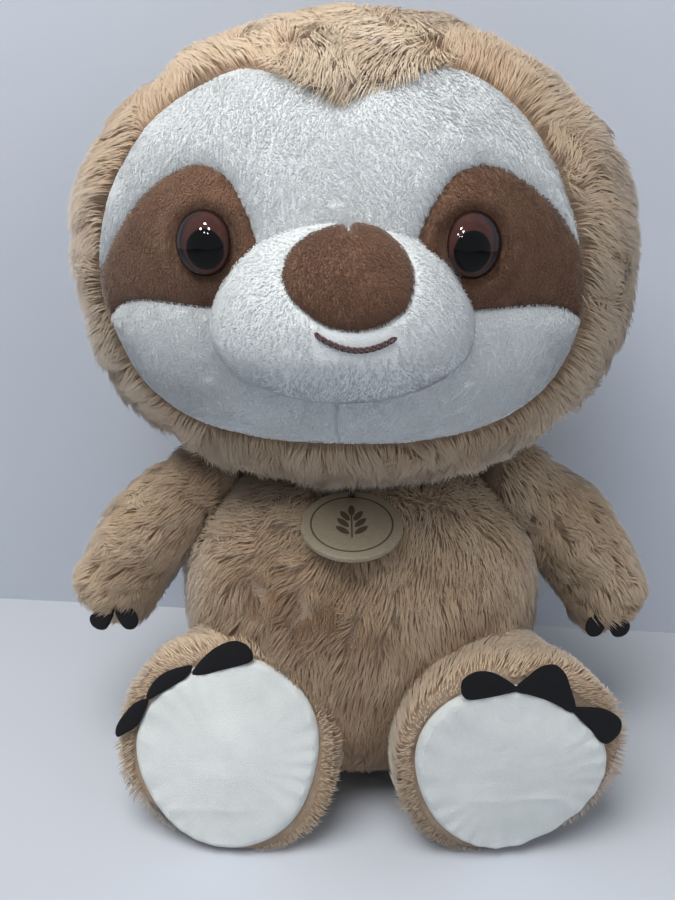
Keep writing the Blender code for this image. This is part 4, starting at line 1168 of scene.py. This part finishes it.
# The hood's fur keeps off the mask and the neck
def hoodKeep(points, facing):
    local = inHead(points)
    onMask = inside(maskLine, local[:, [0, 2]]) & (local[:, 1] < 0) & (gapTo(maskLine, local[:, [0, 2]]) > 0.0012)
    return (~onMask & (np.linalg.norm(points - neckMiddle, axis=-1) > 0.026)) * np.where(local[:, 1] > 0.03, 0.82, 1.0)


headGrid = onStandHead(formGrid(headForm, 150, 240, 0.0012))
roots, facing = scatter(headGrid, 91000, 11, hoodKeep)
local = inHead(roots)
seamGap = np.where(local[:, 1] < 0, gapTo(maskLine, local[:, [0, 2]]), 1.0)
# It is combed away from the face, hangs at the sides, and falls over the mask's dip as a forelock
top = ease(local[:, 2], 0.02, 0.08)[:, None]
comb = np.stack((local[:, 0] / headForm[0], np.full(len(local), 0.9), local[:, 2] / headForm[2] * 0.8), -1)
comb = comb + np.array((0, 0.2, -0.75)) * (1 - top)
lock = np.hypot((local[:, 0] - 0.008) / 0.028, (local[:, 2] - 0.072) / 0.017)
lock = 1 - ease(lock + (local[:, 1] > 0) * 9, 0.5, 1.3)
fan = np.stack(((local[:, 0] - 0.010) * 7, np.full(len(local), -0.4), np.full(len(local), -1.0)), -1)
comb = comb + (fan * 1.6 - comb) * lock[:, None]
labels = np.array(["Top", "Right", "Left", "BackRight", "BackLeft", "Crown"])
aside = local[:, 0] <= 0
region = np.where(local[:, 1] > 0.018, 3 + aside, np.where(local[:, 2] > 0.035, 0, 1 + aside))
region = np.where((local[:, 1] > 0.0) & (local[:, 2] > 0.055), 5, region)
# The forelock is painted paler than the rest of the hood: painted light on it
growFur("hoodFur", roots, facing, comb, coats["head"], 31, "head", tanFur,
        scale=1 + 0.22 * lock - 0.25 * (1 - ease(seamGap, 0.0, 0.006)),
        upright=(1 - ease(seamGap, 0.001, 0.006)) * 0.65 * (1 - lock),
        mess=(0.9 + 0.9 * drift(roots, 0.05, 70)).clip(0.3) * (1 - 0.75 * lock)
        + 0.8 * (1 - ease(local[:, 2], -0.09, -0.05)),
        shift=0.02 + 0.26 * lock, labels=labels[region])

# The body's fur hangs, and swirls in patches. The swirl's patch and the fur low on the body are painted darker: painted
# shade below the head.
def bodyKeep(points, facing):
    off = (points[:, 2] > 0.004) & (np.linalg.norm(points - neckMiddle, axis=-1) > 0.024)
    return off * np.where(points[:, 1] > 0.02, 0.8, 1.0)


roots, facing = scatter(stand(bodyPlace)(formGrid(bodyForm, 120, 200, 0.0010)), 57000, 12, bodyKeep)
swirl = np.exp(-(((roots[:, 0] + 0.032) / 0.034) ** 2) - ((roots[:, 2] - 0.110) / 0.023) ** 2) * (roots[:, 1] < 0)
comb = np.stack((0.7 * drift(roots, 0.05, 60), 0 * roots[:, 0], -1.1 + 0.5 * drift(roots, 0.04, 61)), -1)
labels = np.array(["FrontRight", "FrontLeft", "BackRight", "BackLeft"])
growFur("bodyFur", roots, facing, comb, coats["body"], 32, "torso", tanFur, mess=0.5 + 2.2 * swirl,
        shift=0.04 - 0.52 * swirl - 0.50 * (1 - ease(roots[:, 2], 0.03, 0.11)),
        scale=0.42 + 0.58 * ease(roots[:, 2], 0.008, 0.050),
        labels=labels[(roots[:, 1] > 0) * 2 + (roots[:, 0] <= 0)])

# The seam of the neck is hidden in fur too, painted darker: painted shade between the head and the body
plugGrid = stand(neckPlace)(formGrid((0.0355, 0.0355, 0.0355, 0.0355, 2, 2), 40, 60))
roots, facing = scatter(plugGrid, 2600, 18, lambda points, facing: np.abs(facing[:, 2]) < 0.6)
growFur("neckFur", roots, facing, hanging, coats["leg"], 38, "neck", tanFur, shift=-0.15)

for label, side in sides:
    name, standArm, standLeg = label.lower(), stand(armPlaces[side]), stand(legPlaces[side])
    handWay = turned(armPlaces[side])(hanging)
    handEnd = standArm(np.array((0, 0, -armForms[side] - arm["hand"])))

    def keepArm(points, facing):
        return side * points[:, 0] > 0.066

    roots, facing = scatter(standArm(armGrid(side, 60, 80)), 15000, 13, keepArm)
    nearEnd = 1 - ease(np.linalg.norm(roots - handEnd, axis=-1), 0.006, 0.024)
    growFur(f"armFur{label}", roots, facing, handWay, coats["arm"], 33, f"arm_{name}", tanFur,
            scale=1 - 0.62 * nearEnd)
    # Near the sole the legs' fur is as short as its way to the sole's edge, and stands up as a fringe
    toe = turned(legPlaces[side])(np.array((0, -1.0, 0)))
    soleFacing = turned(solePlaces[side])(np.array((0, 0, 1.0)))
    soleMiddle = np.array(solePlaces[side].translation)
    inSole = stand(solePlaces[side].inverted())

    def keepLeg(points, facing):
        onSole = inSole(points)
        within = np.hypot(onSole[:, 0], onSole[:, 1]) < soleReach(side, np.arctan2(onSole[:, 1], onSole[:, 0])) + 0.0008
        return ((~within | (onSole[:, 2] < -0.002)) & (points[:, 2] > 0.003) & (points[:, 1] < 0.01)).astype(float)

    roots, facing = scatter(standLeg(legGrid(side, 110, 130)), 21500, 14, keepLeg)
    back = (soleMiddle - roots) @ soleFacing
    away = roots - soleMiddle
    outwards = unit(away - soleFacing * (away @ soleFacing)[:, None])
    around = np.cross(outwards, soleFacing) * side
    behind = toe * -0.55 + around * (0.7 + 0.5 * drift(roots, 0.03, 71))[:, None]
    comb = np.where((facing @ soleFacing > 0.7)[:, None], outwards + around * 0.5, behind)
    # The legs' fur is painted lighter, and more so on top: painted light
    growFur(f"legFur{label}", roots, facing, comb, coats["leg"], 34, f"leg_{name}", tanFur,
            shift=0.08 + 0.06 * ease(roots[:, 2], 0.04, 0.07),
            scale=np.clip((back + 0.0060) / 0.0125, 0.45, 1) * (0.5 + 0.5 * ease(roots[:, 2], 0.002, 0.02)),
            upright=np.maximum(0.30 * (1 - ease(back, 0.001, 0.008)), 0.85 * (facing @ soleFacing > 0.45)),
            labels=np.where(roots[:, 2] > 0.05, "Top", "Low"))

# The face's short nap: white off the patches and the muzzle, and brown off the eyes
for name, front, count, side in fuzzBeds:
    bed = np.concatenate((front, front[:, :1]), 1)[::-1]

    def keepNap(points, facing):
        local = inHead(points)
        flat = local[:, [0, 2]]
        if side is not None:
            eye = np.array(eyePlaces[side].translation)
            return (np.linalg.norm(points - eye, axis=-1) > eyes["radius"] + 0.0004).astype(float)
        onBall = inMuzzle(points)
        muzzleGap = np.linalg.norm(onBall / muzzleReach(onBall), axis=-1)
        onPatch = inside(patchLines[-1], flat) | inside(patchLines[1], flat)
        return (~onPatch & (muzzleGap > 0.99)).astype(float)

    roots, facing = scatter(bed, count, 15, keepNap)
    if side is None:
        growFur(name, roots, facing, hanging, coats["white"], 35, "head", whiteFuzz)
        continue
    # The patches' nap is painted darker at its seam and round the eye, as painted shade where the pile dips, and the
    # left patch lighter and the right darker, as painted light and shade from the lamp on the left
    seamShade = 1 - ease(gapTo(patchLines[side], inHead(roots)[:, [0, 2]]), 0, 0.003)
    fromEye = np.linalg.norm(roots - np.array(eyePlaces[side].translation), axis=-1) - eyes["radius"]
    growFur(name, roots, facing, hanging, coats["brown"], 35, "head", brownFuzz,
            shift=0.04 - 0.14 * side - 0.4 * seamShade - 0.5 * (1 - ease(fromEye, 0, 0.005)))

muzzleMiddle = standMuzzle(np.zeros(3))
roots, facing = scatter(muzzleRows, 11000, 16, lambda points, facing: points[:, 1] < muzzleMiddle[1] + 0.01)
ball = inMuzzle(roots) / muzzleSize
offNose = ~(inside(noseOutline, noseChart(unit(ball))) & (unit(ball) @ noseAxis > 0.3))
onMouth = np.abs(ball[:, 0] * muzzleForm[0] - mouth["aside"]) < mouth["width"] / 2 + 0.001
onMouth &= np.abs(ball[:, 2] * muzzleForm[2] - mouth["lift"] + mouth["sag"] / 2) < 0.0045
keep = offNose & ~onMouth
comb = roots[keep] - standMuzzle(np.array((0, -0.03, 0.03)))
# The muzzle's nap is painted darker towards its underside: painted shade on the muzzle's underside
growFur("muzzleFuzz", roots[keep], facing[keep], comb, coats["white"], 36, "head", whiteFuzz,
        shift=-0.42 * (1 - ease(ball[keep, 2], -0.50, 0.10)))

# The nose's nap is combed out from the dart's end, and is painted darker on the left and lighter on the right: painted
# shade of the nap's lay
bed = np.concatenate((noseFront, noseFront[:, :1]), 1)[::-1]
roots, facing = scatter(bed, 4200, 17)
dartEnd = standMuzzle(onMuzzle(dartLine[1:])[0])[0]
aside = (roots - dartEnd) @ np.array(muzzlePlace)[:3, 0]
ball = inMuzzle(roots) / muzzleSize
keep = gapTo(dartLine, noseChart(unit(ball)), closed=False) > nose["dartBare"]
growFur("noseFuzz", roots[keep], facing[keep], (roots - dartEnd)[keep], coats["brown"], 37, "head", brownFuzz,
        shift=-0.26 + np.clip(aside[keep] / 0.006, -1, 1) * 0.20, scale=0.8)
print("fur grown")
